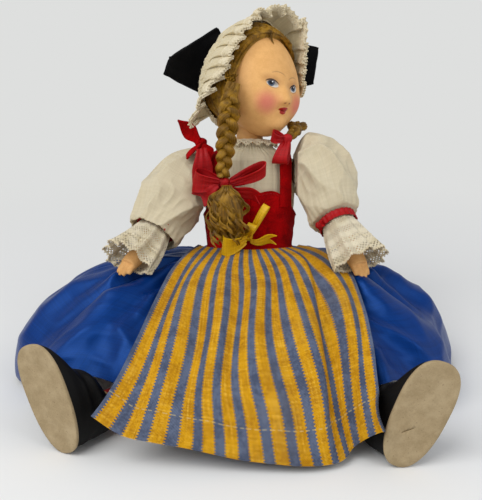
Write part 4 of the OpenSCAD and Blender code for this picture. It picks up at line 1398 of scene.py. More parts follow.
def tied_knot(skin: Skin, at: Point, radius: float, half: Point = (1.0, 0.8, 0.9), wraps: int = 5) -> None:
    """Adds a knot of ribbon, drawn in between its wraps.

    Args:
        skin: The piece to add it to.
        at: Its middle.
        radius: Its size.
        half: Its half sizes as shares of the radius.
        wraps: Number of creases round it.
    """
    el, az = per_row(-84, 84, 26), turns(40)
    crease = 1 + 0.07 * sind(wraps * az + 0.8 * el) - 0.06 * bell(el / 16)
    d = stacked(cosd(el) * cosd(az), cosd(el) * sind(az), sind(el)) * np.array(half) * radius
    skin.loft(np.array(at, float) + d * crease[..., None])


def picot_edge(skin: Skin, edge: Array, out: Array, loops: int, radius: float, thread: float) -> None:
    """Adds a crocheted edge: a cord and a row of small loops along it.

    Args:
        skin: The piece to add it to.
        edge: Points along the cloth's edge.
        out: Unit directions away from the cloth, one for each point.
        loops: Number of loops.
        radius: Reach of a loop.
        thread: Radius of the thread.
    """
    t = np.linspace(0, len(edge) - 1, loops * 9)
    base = np.arange(len(edge))
    at, way = between(edge, base, t), between(out, base, t)
    along = unit(np.gradient(at, axis=0))
    beat = np.linspace(0, loops, len(t)) * 2 * np.pi
    swing = radius * (np.sin(beat)[:, None] * along * 0.55 + (1 - np.cos(beat))[:, None] * way * 0.6)
    skin.tube(at + swing, thread, 5)
    skin.tube(at - 0.4 * radius * way, thread * 1.3, 5)


@dataclass
class UpperBody:
    """The stuffed body with its blouse, lace collar, red bodice and shoulder straps."""

    blouse_off: float = 0.95
    blouse_thick: float = 0.5
    blouse_foot: float = 64.0
    armhole: float = 9.0
    armhole_in: float = 24.0
    collar_inner: float = 10.6
    collar_outer: tuple[float, float] = (17.5, 15.0)
    bodice_off: float = 2.65
    bodice_thick: float = 1.8
    bodice_rise: float = 45.0
    bodice_foot: float = 2.0
    strap_off: float = 4.45
    strap_inner: float = 19.0
    strap_width: float = 7.0
    pocket_radius: float = 13.8
    pocket_top: float = 29.2
    pocket_reach: float = 60.0
    pocket_swing: float = 8.0

    def build(self) -> None:
        """Builds and dresses every piece of the upper body."""
        self.torso()
        self.blouse()
        self.collar()
        self.bodice()
        for side in Side:
            self.strap(side)

    def torso(self) -> None:
        """Builds the stuffed cotton body with its seams and the pockets that the thighs turn in."""
        z, phi = per_row(0, BODY.height, 70), turns(120)
        seam = bell(np.minimum(np.abs(phi - 180), np.minimum(phi, 360 - phi)) / 2.2)
        back = bell((phi - 90) / 1.6)
        swell = 0.5 * np.sin(z / 9 + 2 * sind(phi)) * np.sin(z / 17 + 1)
        rings = BODY.point(z, phi, -0.3 - 0.7 * seam * (z < 110) - 0.6 * back + 0.35 * swell)
        rings[0, :, 2] = 0.0
        body = Skin().loft(rings).build("torso_body", BODY_COTTON)
        for side in Side:
            carved(body, self.pocket(side))
        hand_over(body, "torso", ["torso"])

    def pocket(self, side: Side) -> Piece:
        """Makes the cutter of one hip's pocket, open to the front.

        Args:
            side: Which hip.

        Returns:
            The cutter.
        """
        radius, reach = self.pocket_radius, self.pocket_reach
        a = np.radians(np.linspace(0, 180, 25))
        spread = radius + reach * math.tan(math.radians(self.pocket_swing))
        outline = np.array([*((radius * math.cos(q), radius * math.sin(q)) for q in a),
                            (-spread, -reach), (spread, -reach)])
        rings = [np.column_stack([outline, np.full(len(outline), z)]) for z in (-5.0, self.pocket_top)]
        rings = side.faced(placed(HIPS.place(side), np.array(rings)))
        return Skin().loft(rings).build("pocket_cutter", BODY_COTTON)

    def blouse(self) -> None:
        """Builds the blouse with its tucked front and open armholes."""
        z, phi = per_row(self.blouse_foot, BODY.height, 90), turns(480)
        front = bell((phi - 270) / 46)
        tucks = 0.45 * front * np.abs(sind(21 * phi)) * ease((z - 84) / 20)
        gathers = 0.35 * sind(60 * phi) * ease((z - 126) / 12)
        soft = 0.35 * Wrinkles(4, 7, 3).height(phi / 360, z / BODY.height)
        grid = BODY.point(z, phi, self.blouse_off + tucks + gathers + soft * (z < 132))
        piece = Skin().shell(grid, self.blouse_thick, True).build("blouse_body", CREAM)
        self.open_armholes(piece)
        hand_over(piece, "torso", ["blouse"])

    def open_armholes(self, piece: Piece) -> None:
        """Cuts the blouse open round the shoulder discs.

        Args:
            piece: The blouse.
        """
        _, y, z = (MM * v for v in SHOULDER)
        work = bmesh.new()
        work.from_mesh(piece.data)
        middles = [(face, face.calc_center_median()) for face in work.faces]
        gone = [face for face, at in middles if abs(at.x) > self.armhole_in * MM
                and math.hypot(at.y - y, at.z - z) < self.armhole * MM]
        bmesh.ops.delete(work, geom=gone, context="FACES")
        work.to_mesh(piece.data)
        work.free()

    def collar(self) -> None:
        """Builds the lace frill round the neck and its crocheted edge."""
        t, phi = per_row(0, 1, 16), turns(480)
        wave = 0.9 * t * sind(16 * phi + 14 * sind(3 * phi))
        a, b = (mix(self.collar_inner, outer, t) for outer in self.collar_outer)
        grid = placed(BODY.neck, stacked(a * cosd(phi), b * sind(phi), 2.8 - 3 * t**2 + wave))
        frill = Skin().shell(grid, LACE_THICK, True).build("collar_lace", LACE)
        hand_over(frill, "torso", ["collar_frill"])
        edge = Skin()
        closed = np.concatenate([grid, grid[:, :1]], 1)
        picot_edge(edge, closed[-1], unit(closed[-1] - closed[-3]), 64, 0.8, 0.28)
        hand_over(edge.build("collar_edge", LACE_CORD), "torso")

    def bodice_height(self, phi: Array, s: Value) -> Array:
        """Gives heights on the bodice, whose upper edge is low under the arms and dipped at the front.

        Args:
            phi: Turn about the body.
            s: Share of the way from the foot to the upper edge.

        Returns:
            The heights.
        """
        dip = 24 * np.abs(cosd(phi)) ** 1.5
        top = BODY.waist_z + self.bodice_rise - dip - 12 * np.maximum(0, -sind(phi)) ** 12
        return mix(BODY.waist_z - self.bodice_foot, top, s)

    def bodice(self) -> None:
        """Builds the red felt bodice, its top stitching and a loose thread."""
        s, phi = per_row(0, 1, 60), turns(400)
        dents = 0.45 * Wrinkles(9, 5, 2).height(phi / 360, s) * arch(s)
        seam = -0.5 * bell((phi - 270) / 1.3) - 0.5 * bell((phi - 90) / 1.3)
        off = self.bodice_off + self.bodice_flare(s) + dents + seam
        grid = BODY.point(self.bodice_height(phi, s), phi, off)
        piece = Skin().shell(grid, self.bodice_thick, True).build("bodice_felt", RED_FELT)
        hand_over(piece, "torso", ["bodice"])
        thread = Skin()
        face, phi = self.bodice_off + self.bodice_thick / 2, phi[0]
        for row in (0.955, 0.045):
            z, off = self.bodice_height(phi, row), face + self.bodice_flare(row) + 0.25
            for k in range(0, phi.size, 5):
                thread.tube(BODY.point(z[k:k + 4], phi[k:k + 4], off), 0.22, 5)
        fall = np.linspace(0, 1, 20)
        curl = stacked(2.2 * np.sin(5 * fall), -0.8 * np.sin(3 * fall), -13 * fall)
        thread.tube(BODY.point(98.0, 282.0, face + 0.4) + curl, 0.2, 5)
        hand_over(thread.build("bodice_stitching", RED_RIBBON), "torso")

    @staticmethod
    def bodice_flare(s: Value) -> Value:
        """How far the bodice stands out at its foot."""
        return 1.6 * (1 - ease(s / 0.16))

    def strap_line(self, x: float, count: int, off: float) -> Array:
        """Lays a line over the shoulder at one distance from the middle.

        Args:
            x: Distance from the middle.
            count: Number of points.
            off: Distance from the body.

        Returns:
            Points from the front of the bodice over the shoulder to its back.
        """
        z = np.linspace(99, BODY.height - 1.5, 400)
        wide = np.minimum(eased(z, BODY.stations, 1), BODY.chest_half + 1) + off
        z = z[wide > x]
        phi = np.degrees(np.arccos(np.clip(x / (eased(z, BODY.stations, 1) + off), -1, 1)))
        front, back = BODY.point(z, -phi, off), BODY.point(z, phi, off)
        line = np.concatenate([front, back[::-1]])
        step = travelled(line)
        line = between(line, step, np.linspace(0, step[-1], count))
        return relaxed(line[:, None].repeat(3, 1), 6, True)[:, 1]

    def strap(self, side: Side) -> None:
        """Builds one shoulder strap, and on the right the tie whose pointed end stands up from it.

        Args:
            side: Which shoulder.
        """
        xs = np.linspace(self.strap_inner, self.strap_inner + self.strap_width, 9)
        grid = np.stack([self.strap_line(x, 70, self.strap_off) for x in xs], 1)
        skin = Skin().shell(side.faced(grid), 1.2)
        if side is Side.RIGHT:
            top = np.array([-31.0, 26.0, 141.5])
            tied_knot(skin, top, 3.6, (1.1, 0.8, 0.8))
            self.leaf(skin, top + [-1.5, -1, 1], top + [-14, -4, 14.5], (0.5, -0.3, 0.7), 11)
            self.leaf(skin, top + [1, -2, -1], top + [6.5, -12, -9], (1, 0.3, 0.2), 9)
            self.leaf(skin, top + [-1, -2, -1], top + [-8, -13, -8], (0.8, -0.4, 0.5), 9)
        piece = skin.build(f"strap_felt_{side.label}", RED_FELT)
        hand_over(piece, "torso", [f"strap_{side.label}"])

    @staticmethod
    def leaf(skin: Skin, start: Array, end: Array, across: Point, width: float) -> None:
        """Adds a pointed felt end, broad at its middle and curled a little.

        Args:
            skin: The piece to add it to.
            start: Its root.
            end: Its point.
            across: The direction across it.
            width: Its greatest width.
        """
        a = unit(np.array(across, float))
        side = unit(np.cross(end - start, a))
        t, e = per_row(0, 1, 26), per_col(-1, 1, 11)
        half = width / 2 * mix(0.45, 1, ease(t * 2.2)) * (1 - ease((t - 0.45) / 0.62)) + 0.25
        lift = 1.6 * arch(t) - 1.1 * e**2 * arch(t)
        middle = start + t[..., None] * (end - start)
        skin.shell(middle + lift[..., None] * side + (half * e)[..., None] * a, 1.1)


@dataclass
class Head:
    """The painted felt head with its hair, braids, cap, lace frill and black wings."""

    half_width: float = 29.0
    half_depth: float = 29.0
    crown: float = 41.0
    chin: float = 33.0
    nape: float = 21.0
    jaw_taper: float = 0.17
    hair_off: float = 4.4
    hair_back: float = 22.0
    hair_edge: tuple[float, float] = (64.0, 63.0)
    hair_foot: float = -17.0
    cap_off: float = 6.0
    cap_edge: tuple[float, float] = (102.0, 82.0)
    cap_foot: float = -23.0
    cap_skew: float = -4.0
    frill_turn: float = 205.0
    frill_root: float = 5.6
    pleats: int = 17
    locks: int = 460
    wing_root: float = 54.0
    wing_thick: float = 1.8
    wing_skew: float = -16.0
    wing_back: float = 36.4
    wing_z: float = 27.0
    wing_reach: float = 56.0
    wing_tip: dict[Side, tuple[float, float]] = field(
        default_factory=lambda: {Side.RIGHT: (11.0, 9.0), Side.LEFT: (25.0, 1.5)})
    braid_width: float = 13.5

    def build(self) -> None:
        """Builds and dresses every piece of the head."""
        self.head()
        self.hair()
        self.braids()
        self.cap()
        self.frill()
        self.wings()

    @staticmethod
    def bump(d: Array, way: Point, height: float, spread: float) -> Array:
        """Raises a round bump about a direction, with its spread in degrees."""
        angle = np.degrees(np.arccos(np.clip(d @ unit(np.array(way, float)), -1, 1)))
        return height * bell(angle / spread)

    def radius(self, d: Array, fine: bool = False) -> Array:
        """Gives the head's radius in some directions.

        Args:
            d: Unit directions in the head's own frame, whose face looks along -Y.
            fine: Whether the lips, nostrils, lids and bridge of the nose are added.

        Returns:
            The radii.
        """
        x, y, z = np.moveaxis(d, -1, 0)
        half_h = np.where(z > 0, self.crown, mix(self.nape, self.chin, ease(0.3 - y)))
        taper = self.jaw_taper * ease(-z)
        r = 1 / np.sqrt((x / (self.half_width * (1 - taper))) ** 2
                        + (y / (self.half_depth * (1 - taper / 2))) ** 2 + (z / half_h) ** 2)
        even = stacked(np.abs(x), y, z)
        r = r + self.bump(d, (0, -1, -0.2), 5, 9) + self.bump(even, (0.55, -1, -0.38), 2.2, 18)
        r = r + self.bump(d, (0, -1, -0.95), 4, 14) - self.bump(even, (0.36, -1, 0.06), 1.2, 12)
        if fine:
            for az, el, height, spread in self.features():
                r = r + self.bump(d, self.face_way(az, el), height, spread)
        return r

    @staticmethod
    def features() -> list[tuple[float, float, float, float]]:
        """Lists the small forms of the face under its paint.

        Returns:
            Each one's place across and up in degrees, its height and its spread.
        """
        mid, mouth = FACE.middle, FACE.mouth
        made = [(0, 0, 1.2, 6), (mid, mouth - 1.8, 1.0, 4.2), (0, -32, -0.8, 6),
                (mid, mouth + 5.3, -0.35, 1.8)]
        for side in (-1, 1):
            x, y = mid + side * FACE.eye[0], FACE.eye[1] - side * FACE.lean
            made += [(side * 4.6, -14, 0.9, 4), (x, y, 0.8, 7), (x, y + 5.5, 0.5, 4.5),
                     (mid + side * 3, mouth + 2, 0.8, 3.2), (mid + side * 3, mouth, -0.5, 1.8),
                     (mid + side * 7.4, mouth, -0.5, 2.2)]
        return made

    @staticmethod
    def face_way(az: Value, el: Value) -> Array:
        """Directions az degrees to the doll's left of the face's middle and el degrees up."""
        return stacked(cosd(el) * sind(az), -cosd(el) * cosd(az), sind(el))

    def head(self) -> None:
        """Builds the pressed felt head and its neck."""
        el, az = per_row(-88, 88, 190), turns(320) - 180
        d = self.face_way(az, el)
        rings = placed(AT_HEAD, d * self.radius(d, True)[..., None])
        skin = Skin().loft(rings, stacked(per_col(-180, 180, 321), el))
        s, a = per_row(0, 1, 18), turns(64)
        r = 9 - 0.5 * arch(s) + 1.2 * ease(3 * s - 2)
        neck = placed(BODY.neck, stacked(r * cosd(a), r * sind(a), mix(0.3, 14, s)))
        skin.loft(neck, stacked(np.full((1, 65), 170.0), per_row(-60, -40, 18)))
        hand_over(skin.build("head_felt", FACE), "head", ["head"])

    def wrap(self, edge: tuple[float, float], foot: float, off: float, skew: float, rows: int, cols: int,
             back: float = 0.0) -> tuple[Array, Array, Array]:
        """Lays a grid over the back of the head, from a curved front edge to a level foot.

        Args:
            edge: Angle of the front edge from the face, at the sides and at the top.
            foot: Height of the lower edge.
            off: Distance from the head.
            skew: Turn of the whole about the head's axis.
            rows: Rows from the foot to the crown.
            cols: Columns from edge to edge.
            back: How much farther back the doll's left edge lies, in degrees.

        Returns:
            Unit directions, radii, and the angle of each point behind the front edge.
        """
        p, q = per_row(0, 1, rows), per_col(0, 1, cols)
        low = np.full((1, cols), -35.0)
        for _ in range(4):
            el = mix(low, 89.5, p) + 0 * q
            gamma_sine = np.clip(sind(el) / sind(edge[1]), 0, 1)
            cosine = cosd(mix(edge[0], edge[1], gamma_sine)) / np.maximum(cosd(el), 1e-3)
            az_edge = np.degrees(np.arccos(np.clip(cosine, -1, 1)))
            az = mix(az_edge + back * (1 - ease((el - 30) / 35)), 360 - az_edge, q) + skew
            d = self.face_way(az, el)
            r = self.radius(d) + off
            low = np.degrees(np.arcsin(np.clip(foot / r[:1], -0.9, 0)))
        return d, r, np.minimum(az - skew - az_edge, 360 - az_edge - az + skew)

    def hair(self) -> None:
        """Builds the mohair: a combed cap of hair and single locks drawn from the parting to the braid."""
        d, r, behind = self.wrap(self.hair_edge, self.hair_foot, self.hair_off - 1.4, 0.0, 110, 260,
                                 self.hair_back)
        comb = 0.45 * sind(behind * 19) + 0.3 * sind(behind * 43 + 200 * d[..., 2])
        grid = placed(AT_HEAD, d * (r + comb)[..., None])
        skin = Skin().shell(grid, 2.6, uv=Skin.lengths(grid)[..., ::-1])
        draw = np.random.default_rng(11)
        root = placed(np.linalg.inv(AT_HEAD), np.array([-11.0, 12.5, 183.0]))
        for k in range(self.locks):
            side = -1 if k % 2 else 1
            q = draw.uniform() ** 1.4
            turn = np.linspace(0, 1, 22)
            gamma = 90 - side * mix(1.5, draw.uniform(92, 112), turn)
            edge = mix(self.hair_edge[0], self.hair_edge[1], np.maximum(0, sind(gamma)))
            edge = edge + (self.hair_back * ease(2 * turn) if side > 0 else 0)
            beta = edge + 0.6 + q * 44 * (0.35 + 0.65 * turn) + draw.normal(0, 1.3) * arch(turn)
            way = stacked(sind(beta) * cosd(gamma), -cosd(beta), sind(beta) * sind(gamma))
            low = 3.2 * (1 - ease((beta - edge) / 7))
            lift = self.hair_off - 0.7 - low + draw.uniform(-0.3, 0.7) + 0.3 * np.sin(5 * turn + k)
            path = way * (self.radius(way) + lift)[:, None]
            if side < 0 and q < 0.55:
                goal = root + draw.normal(0, 1.3, 3)
                path = mix(path, goal, ease((turn - 0.42) / 0.62)[:, None])
            path = path[path[:, 2] > self.hair_foot + 0.5]
            if len(path) > 5:
                fade = arch(np.linspace(0.06, 0.97, len(path))) ** 0.5
                skin.tube(placed(AT_HEAD, path), draw.uniform(0.4, 0.75) * fade, 6)
        self.forelock(skin)
        hand_over(skin.build("hair_mohair", HAIR), "head", ["hair"])

    def forelock(self, skin: Skin) -> None:
        """Adds the small loose lock at the parting.

        Args:
            skin: The hair to add it to.
        """
        t = np.linspace(0, 1, 18)
        for k in range(6):
            el = mix(69, 54 + 2 * (k % 3), t) + np.sin(4 * t + k)
            az = mix(k - 8, -5 + 0.5 * k, t)
            way = self.face_way(az, el)
            path = way * (self.radius(way) + 5.2 - 4.6 * ease(t * 1.2))[:, None]
            skin.tube(placed(AT_HEAD, path), 0.55 * (1 - 0.7 * t), 5)

    def plait(self, route: Array, width: float, pitch: float, loose: float) -> Skin:
        """Plaits three strands of fine tubes along a route.

        Args:
            route: The braid's points.
            width: Its width.
            pitch: Length of one full turn of the plait.
            loose: Width of its loose upper end, as a share of the whole width.

        Returns:
            The braid's surfaces.
        """
        path = through(route, 130)
        length = travelled(path)
        t = length / length[-1]
        w = unit(np.gradient(path, axis=0))
        u = unit(np.array([1.0, 0, 0]) - w[:, :1] * w)
        v = np.cross(w, u)
        size = width / 2 * mix(loose, 1, ease(4 * t)) * mix(1, 0.72, ease((t - 0.55) / 0.45))
        tied = ease((t - 0.04) / 0.2)
        skin = Skin()
        draw = np.random.default_rng(5)
        for strand in range(3):
            a = 2 * np.pi * (length / pitch + strand / 3)
            swing = mix(0.55 * (strand - 1), 0.52 * np.sin(a), tied) * size
            middle = path + swing[:, None] * u + (0.34 * tied * size * np.sin(2 * a))[:, None] * v
            for k in range(13):
                b = 2 * np.pi * k / 12 + 0.6 * a
                out, thick = (0.0, 0.34) if k == 12 else (0.34, 0.14)
                stray = 1 + draw.normal(0, 0.08)
                around = np.cos(b)[:, None] * u + np.sin(b)[:, None] * v
                skin.tube(middle + (out * stray * size)[:, None] * around, thick * size, 6)
        return skin

    def braids(self) -> None:
        """Builds the two braids; each bends from the head to the bow that holds it on the chest."""
        neck = BODY.neck[:3, 3]
        right = neck + np.array([[-10, -26, 42], [-12, -28.5, 34], [-13, -32, 24], [-14, -35, 14],
                                 [-15, -36, 4], [-16, -35, -5], [-17, -34, -13]])
        left = neck + np.array([[31.5, 12, 10.4], [29.5, 2, 10.2], [28.5, -9, 9.8], [24, -17, 8]])
        for side, route, width, pitch, loose in ((Side.RIGHT, right, self.braid_width, 22.0, 0.62),
                                                 (Side.LEFT, left, 8.5, 26.0, 1.6)):
            piece = self.plait(route, width, pitch, loose).build(f"braid_plait_{side.label}", HAIR)
            hand_over(piece, "head", [f"braid_{side.label}"], other="torso")

    def cap(self) -> None:
        """Builds the cap, gathered behind its front edge."""
        d, r, behind = self.wrap(self.cap_edge, self.cap_foot, self.cap_off, self.cap_skew, 90, 340)
        gather = 0.7 * np.sin(d[..., 2] * 95 + 2 * np.sin(9 * d[..., 0])) * np.exp(-behind / 16)
        soft = 0.8 * Wrinkles(21, 4, 4).height(behind / 400 + d[..., 2] / 5, d[..., 2]) * ease(behind / 25)
        grid = placed(AT_HEAD, d * (r + 0.4 + gather + soft)[..., None])
        piece = Skin().shell(grid, 0.6).build("cap_cloth", CAP_LAWN)
        hand_over(piece, "head", ["cap"])

    def pleated(self, steps: int) -> tuple[Array, Array, Array]:
        """Lays the frill's edge in uneven knife pleats, each of which overlaps the next.

        Args:
            steps: Columns of each pleat.

        Returns:
            Share of the way round, height and reach of each column.
        """
        draw = np.random.default_rng(23)
        q = np.arange(self.pleats * steps + 1) / steps
        whole = np.minimum(q.astype(int), self.pleats - 1)
        part = q - whole
        wide = draw.uniform(0.78, 1.22, self.pleats)
        wide /= wide.sum()
        start = np.concatenate([[0], np.cumsum(wide)[:-1]])
        knots = (0, 0.2, 0.4, 0.6, 0.75, 0.85, 0.93, 1)
        go = np.interp(part, knots, (0, 0.3, 0.62, 0.95, 1.17, 1.2, 1.12, 1))
        high = np.interp(part, knots, (0, 0.42, 0.75, 0.96, 1, 0.85, 0.4, 0))
        high = high * draw.uniform(0.75, 1.2, self.pleats)[whole]
        reach = 1 + draw.uniform(-0.1, 0.1, self.pleats)[whole] * arch(part)
        made = np.stack([start[whole] + wide[whole] * go, high, reach])
        for _ in range(2):
            made[:, 1:-1] = (made[:, :-2] + 2 * made[:, 1:-1] + made[:, 2:]) / 4
        return tuple(row[None] for row in made)

    def frill(self) -> None:
        """Builds the cap's pleated frill with its crocheted lace edge."""
        t = per_row(0, 1, 26)
        share, high, reach = self.pleated(32)
        gamma = self.frill_turn * share
        lie = ((0, 67, 2.5), (22, 67, 3), (36, 68, 5.5), (50, 69, 10), (64, 71, 15), (77, 75, 14),
               (90, 76, 8.5), (105, 73, 7), (120, 66, 6.5), (165, 66, 6), (181, 76, 8), (190, 87, 11),
               (206, 99, 17))
        root = mix(self.cap_edge[0], self.cap_edge[1], np.maximum(0, sind(gamma))) + 6
        beta = mix(root, eased(gamma, lie, 1), t * reach)
        x, y = sind(beta) * cosd(gamma), -cosd(beta)
        c, s = cosd(self.cap_skew), sind(self.cap_skew)
        d = stacked(x * c - y * s, x * s + y * c, sind(beta) * sind(gamma))
        hump = high * mix(0.3, 4.8, t**1.1) * mix(0.35, 1, ease((gamma - 10) / 60))
        r = self.radius(d) + mix(self.frill_root, eased(gamma, lie, 2) * reach, t**0.8) + hump
        grid = placed(AT_HEAD, d * r[..., None])
        piece = Skin().shell(grid, 0.5).build("frill_cloth", CAP_LAWN)
        hand_over(piece, "head", ["cap_frill"])
        lace = Skin()
        out, off = unit(grid[-1] - grid[-3]), Skin.normals(grid)
        for row, away, loops, size, thread in ((25, 0.0, 150, 1.4, 0.55), (25, 1.5, 120, 1.3, 0.5),
                                               (23, 0.0, 130, 1.2, 0.5), (21, 0.0, 120, 1.0, 0.45)):
            for face in (-0.5, 0.5):
                line = grid[row] + away * out + face * off[row]
                picot_edge(lace, line, out, loops, size, thread)
        hand_over(lace.build("frill_lace", LACE_CORD), "head")

    def wings(self) -> None:
        """Builds the two black felt wings and the knot that gathers them behind the cap."""
        place = AT_HEAD @ turned("z", self.wing_skew)
        t, v = per_row(0, 1, 46), per_col(-1, 1, 40)
        for side in Side:
            tip, droop = self.wing_tip[side]
            h = mix(self.wing_root, tip, t) / 2 * mix(0.45, 1, ease(7 * t))
            folds = 1.1 * np.cos(4.5 * np.pi * v) * (1 - ease(2.2 * t))
            folds = folds + 0.5 * Wrinkles(31, 3, 2).height(v / 3, t) * t
            y = self.wing_back - 20 * t**1.8 + 2.5 * (1 - v**2) * arch(t) + folds
            x = mix(6.3, self.wing_reach - 0.6 - 2 * (1 - side.value * v), t)
            grid = stacked(x, y, self.wing_z - droop * t + h * v)
            skin = Skin().shell(placed(place, side.faced(grid)), self.wing_thick)
            piece = skin.build(f"wing_felt_{side.label}", BLACK_FELT)
            hand_over(piece, "head", [f"wing_{side.label}"])
        knot = Skin()
        tied_knot(knot, (0, 0, 0), 1.0, (5.7, 4.0, 10.0), 6)
        knot.points = [placed(place @ shifted(0, self.wing_back, self.wing_z), p) for p in knot.points]
        hand_over(knot.build("wing_wrap", BLACK_FELT), "head", ["wing_knot"])


@dataclass
class Arm:
    """One stuffed arm with its hand, puffed sleeve, red ribbon and lace cuff."""

    side: Side
    joint: tuple[float, float, float] = SHOULDER
    wrist: float = 10.5
    hand_end: float = 0.94
    fingers: tuple[float, ...] = (10.5, 12.0, 11.6, 9.4)
    sleeve_end: float = 0.6
    sleeve_thick: float = 0.5
    band: float = 10.0
    ribbon_radius: float = 11.8
    ribbon_width: float = 5.0
    cuff_reach: float = 0.33

    def __post_init__(self) -> None:
        """Chooses this side's route and the rise of its sleeve."""
        right = [[0, 0, 0], [17, -3, -2], [27, -33, -36], [46, -56, -47]]
        left = [[0, 0, 0], [17, -3, -2], [23, -36, -28], [37, -58, -48]]
        self.route = np.array(right if self.side is Side.RIGHT else left, float)
        self.rise, self.sag = (2.0, 0.15) if self.side is Side.RIGHT else (12.0, 0.05)
        self.body = f"arm_{self.side.label}"

    def at(self, t: Value) -> Array:
        """Points along the arm's middle line."""
        return np.array(self.joint) + bezier(self.route, t)

    def way(self, t: Value) -> Array:
        """Directions along the arm."""
        return self.at(np.minimum(1, np.asarray(t) + 0.02)) - self.at(np.maximum(0, np.asarray(t) - 0.02))

    def build(self) -> None:
        """Builds and dresses every piece of the arm."""
        self.limb()
        self.sleeve()
        self.ribbon()
        self.cuff()

    def limb(self) -> None:
        """Builds the felt arm and its mitten hand with four short fingers and a thumb."""
        w, end = self.wrist, self.hand_end
        stations = ((0, 9, 9), (0.45, 8.46, 8.46), (0.78, w / 2, w / 2), (0.88, w * 0.6, w * 0.44),
                    (end, w * 0.56, w * 0.4))
        t, a = np.linspace(0, end, 60), turns(40)
        _, u, v = ring_frame(self.way(t))
        deep, wide = (eased(t, stations, column)[:, None] for column in (2, 1))
        rings = ringed(self.at(t), u, v, deep * cosd(a), wide * sind(a))
        rings[:, :, 0] = np.maximum(rings[:, :, 0], self.joint[0])
        skin = Skin().loft(self.side.faced(rings))
        go, up, out = ring_frame(self.way(0.95))
        root, s = self.at(0.9), per_row(0, 1, 12)
        tip = np.sqrt(1 - 0.75 * s[:, 0] ** 4)
        for k, long in enumerate(self.fingers):
            spread = (k - 1.5) * 2.55
            path = root + spread * out + s * long * go + s * 0.12 * spread * out - 2.2 * s**2 * up
            skin.tube(self.side.faced(path), 1.75 * tip, 12)
        thumb = self.at(0.84) - 3.6 * out
        path = thumb + s * 7.5 * go - (2.6 * s - 1.4 * s**2) * out - 1.5 * s * up
        skin.tube(self.side.faced(path), 1.9 * tip, 12)
        piece = skin.build(f"{self.body}_felt", SKIN)
        welded(piece, 0.55)
        hand_over(piece, self.body, [self.body])

    def sleeve(self) -> None:
        """Builds the puffed sleeve, gathered at the armhole and at its band."""
        stations = ((0, 11.5), (0.07, 15.5), (0.32, 18.4), (0.6, 19.6), (0.84, 16.4), (0.93, 14.5),
                    (1, self.band))
        s, a = np.linspace(0, 1, 120), np.linspace(0, 1, 220, endpoint=False)[None, :]
        t = self.sleeve_end * s + self.sag * ease(s / 0.9) * ease((1 - s) / 0.12)
        way = unit(mix(np.array([1.0, 0, 0]), unit(self.way(t)), ease(s * 5)[:, None]))
        _, u, v = ring_frame(way)
        middle = self.at(t) + np.array([0, 0, self.rise]) * (ease(2 - 2 * s) * ease(s / 0.12))[:, None]
        middle[:, 0] -= 2.4 * (1 - ease(s / 0.1))
        s = s[:, None]
        gather = 0.7 * np.exp(-s / 0.08) * np.sin(2 * np.pi * 21 * a + 2 * np.sin(9 * a))
        band = 0.9 * np.exp(-(1 - s) / 0.1) * np.sin(2 * np.pi * 24 * a + np.sin(12 * a))
        crease = Wrinkles(40 + self.side.value, 4, 2.2, 4).height(a, s) * 2.7
        crease = crease + Wrinkles(50, 9, 4).height(a, s) * 0.6
        r = eased(s, stations, 1) + gather + band + crease * arch(s) ** 0.8 - 0.8 * arch(s)
        grid = ringed(middle, u, v, r * np.cos(2 * np.pi * a), r * np.sin(2 * np.pi * a))
        grid[..., 0] = np.maximum(grid[..., 0], 28.6 + 1.2 * ease(s / 0.06))
        skin = Skin().shell(self.side.faced(grid), self.sleeve_thick, True)
        hand_over(skin.build(f"sleeve_puff_{self.side.label}", CREAM), self.body,
                  [f"sleeve_{self.side.label}"])

    def ribbon(self) -> None:
        """Builds the red ribbon that ties the sleeve, with its knot and short end."""
        p, w = self.at(self.sleeve_end), unit(self.way(self.sleeve_end))
        _, u, v = ring_frame(w)
        a, e = turns(120), per_row(0, 1, 12)
        r = self.ribbon_radius + 0.3 * sind(22 * a) - 0.2 * np.cos(np.pi * (2 * e - 1))
        faced = self.side.faced
        grid = ringed(p + self.ribbon_width * e * w, u[None], v[None], r * cosd(a), r * sind(a))
        skin = Skin().shell(faced(grid), RIBBON_THICK, True)
        one, two = p + 2 * w + 12.6 * v, p + 7 * w + 14.8 * v + 9 * u
        ribbon_tail(skin, faced(one), faced(two), faced(w), self.ribbon_width)
        tied_knot(skin, faced(p + 2.5 * w + 13 * v), 2.4)
        hand_over(skin.build(f"sleeve_tie_{self.side.label}", RED_RIBBON), self.body,
                  [f"sleeve_ribbon_{self.side.label}"])

    def cuff(self) -> None:
        """Builds the gathered lace cuff and its crocheted edge."""
        s, a, label = np.linspace(0, 1, 40), turns(480), self.side.label
        t = self.sleeve_end + 0.005 + self.cuff_reach * s
        _, u, v = ring_frame(self.way(t))
        s = s[:, None]
        flute = np.sin(np.radians(10 * a) + 0.7 * sind(2 * a + 40 * self.side.value)) + 0.25 * sind(20 * a)
        r = mix(8.7, 17.6, s**0.8) + 1.9 * s * flute + 0.35 * np.exp(-s / 0.15) * sind(40 * a)
        up = cosd(a) * np.where(cosd(a) < 0, mix(1, 0.3, s), 1)
        grid = self.side.faced(ringed(self.at(t), u, v, r * up, r * sind(a)))
        piece = Skin().shell(grid, LACE_THICK, True).build(f"cuff_lace_{label}", LACE)
        hand_over(piece, self.body, [f"cuff_frill_{label}"])
        closed = np.concatenate([grid, grid[:, :1]], 1)
        edge = Skin()
        picot_edge(edge, closed[-1], unit(closed[-1] - closed[-3]), 84, 0.9, 0.33)
        picot_edge(edge, closed[26], unit(closed[27] - closed[25]), 70, 0.6, 0.28)
        hand_over(edge.build(f"cuff_edge_{label}", LACE_CORD), self.body)


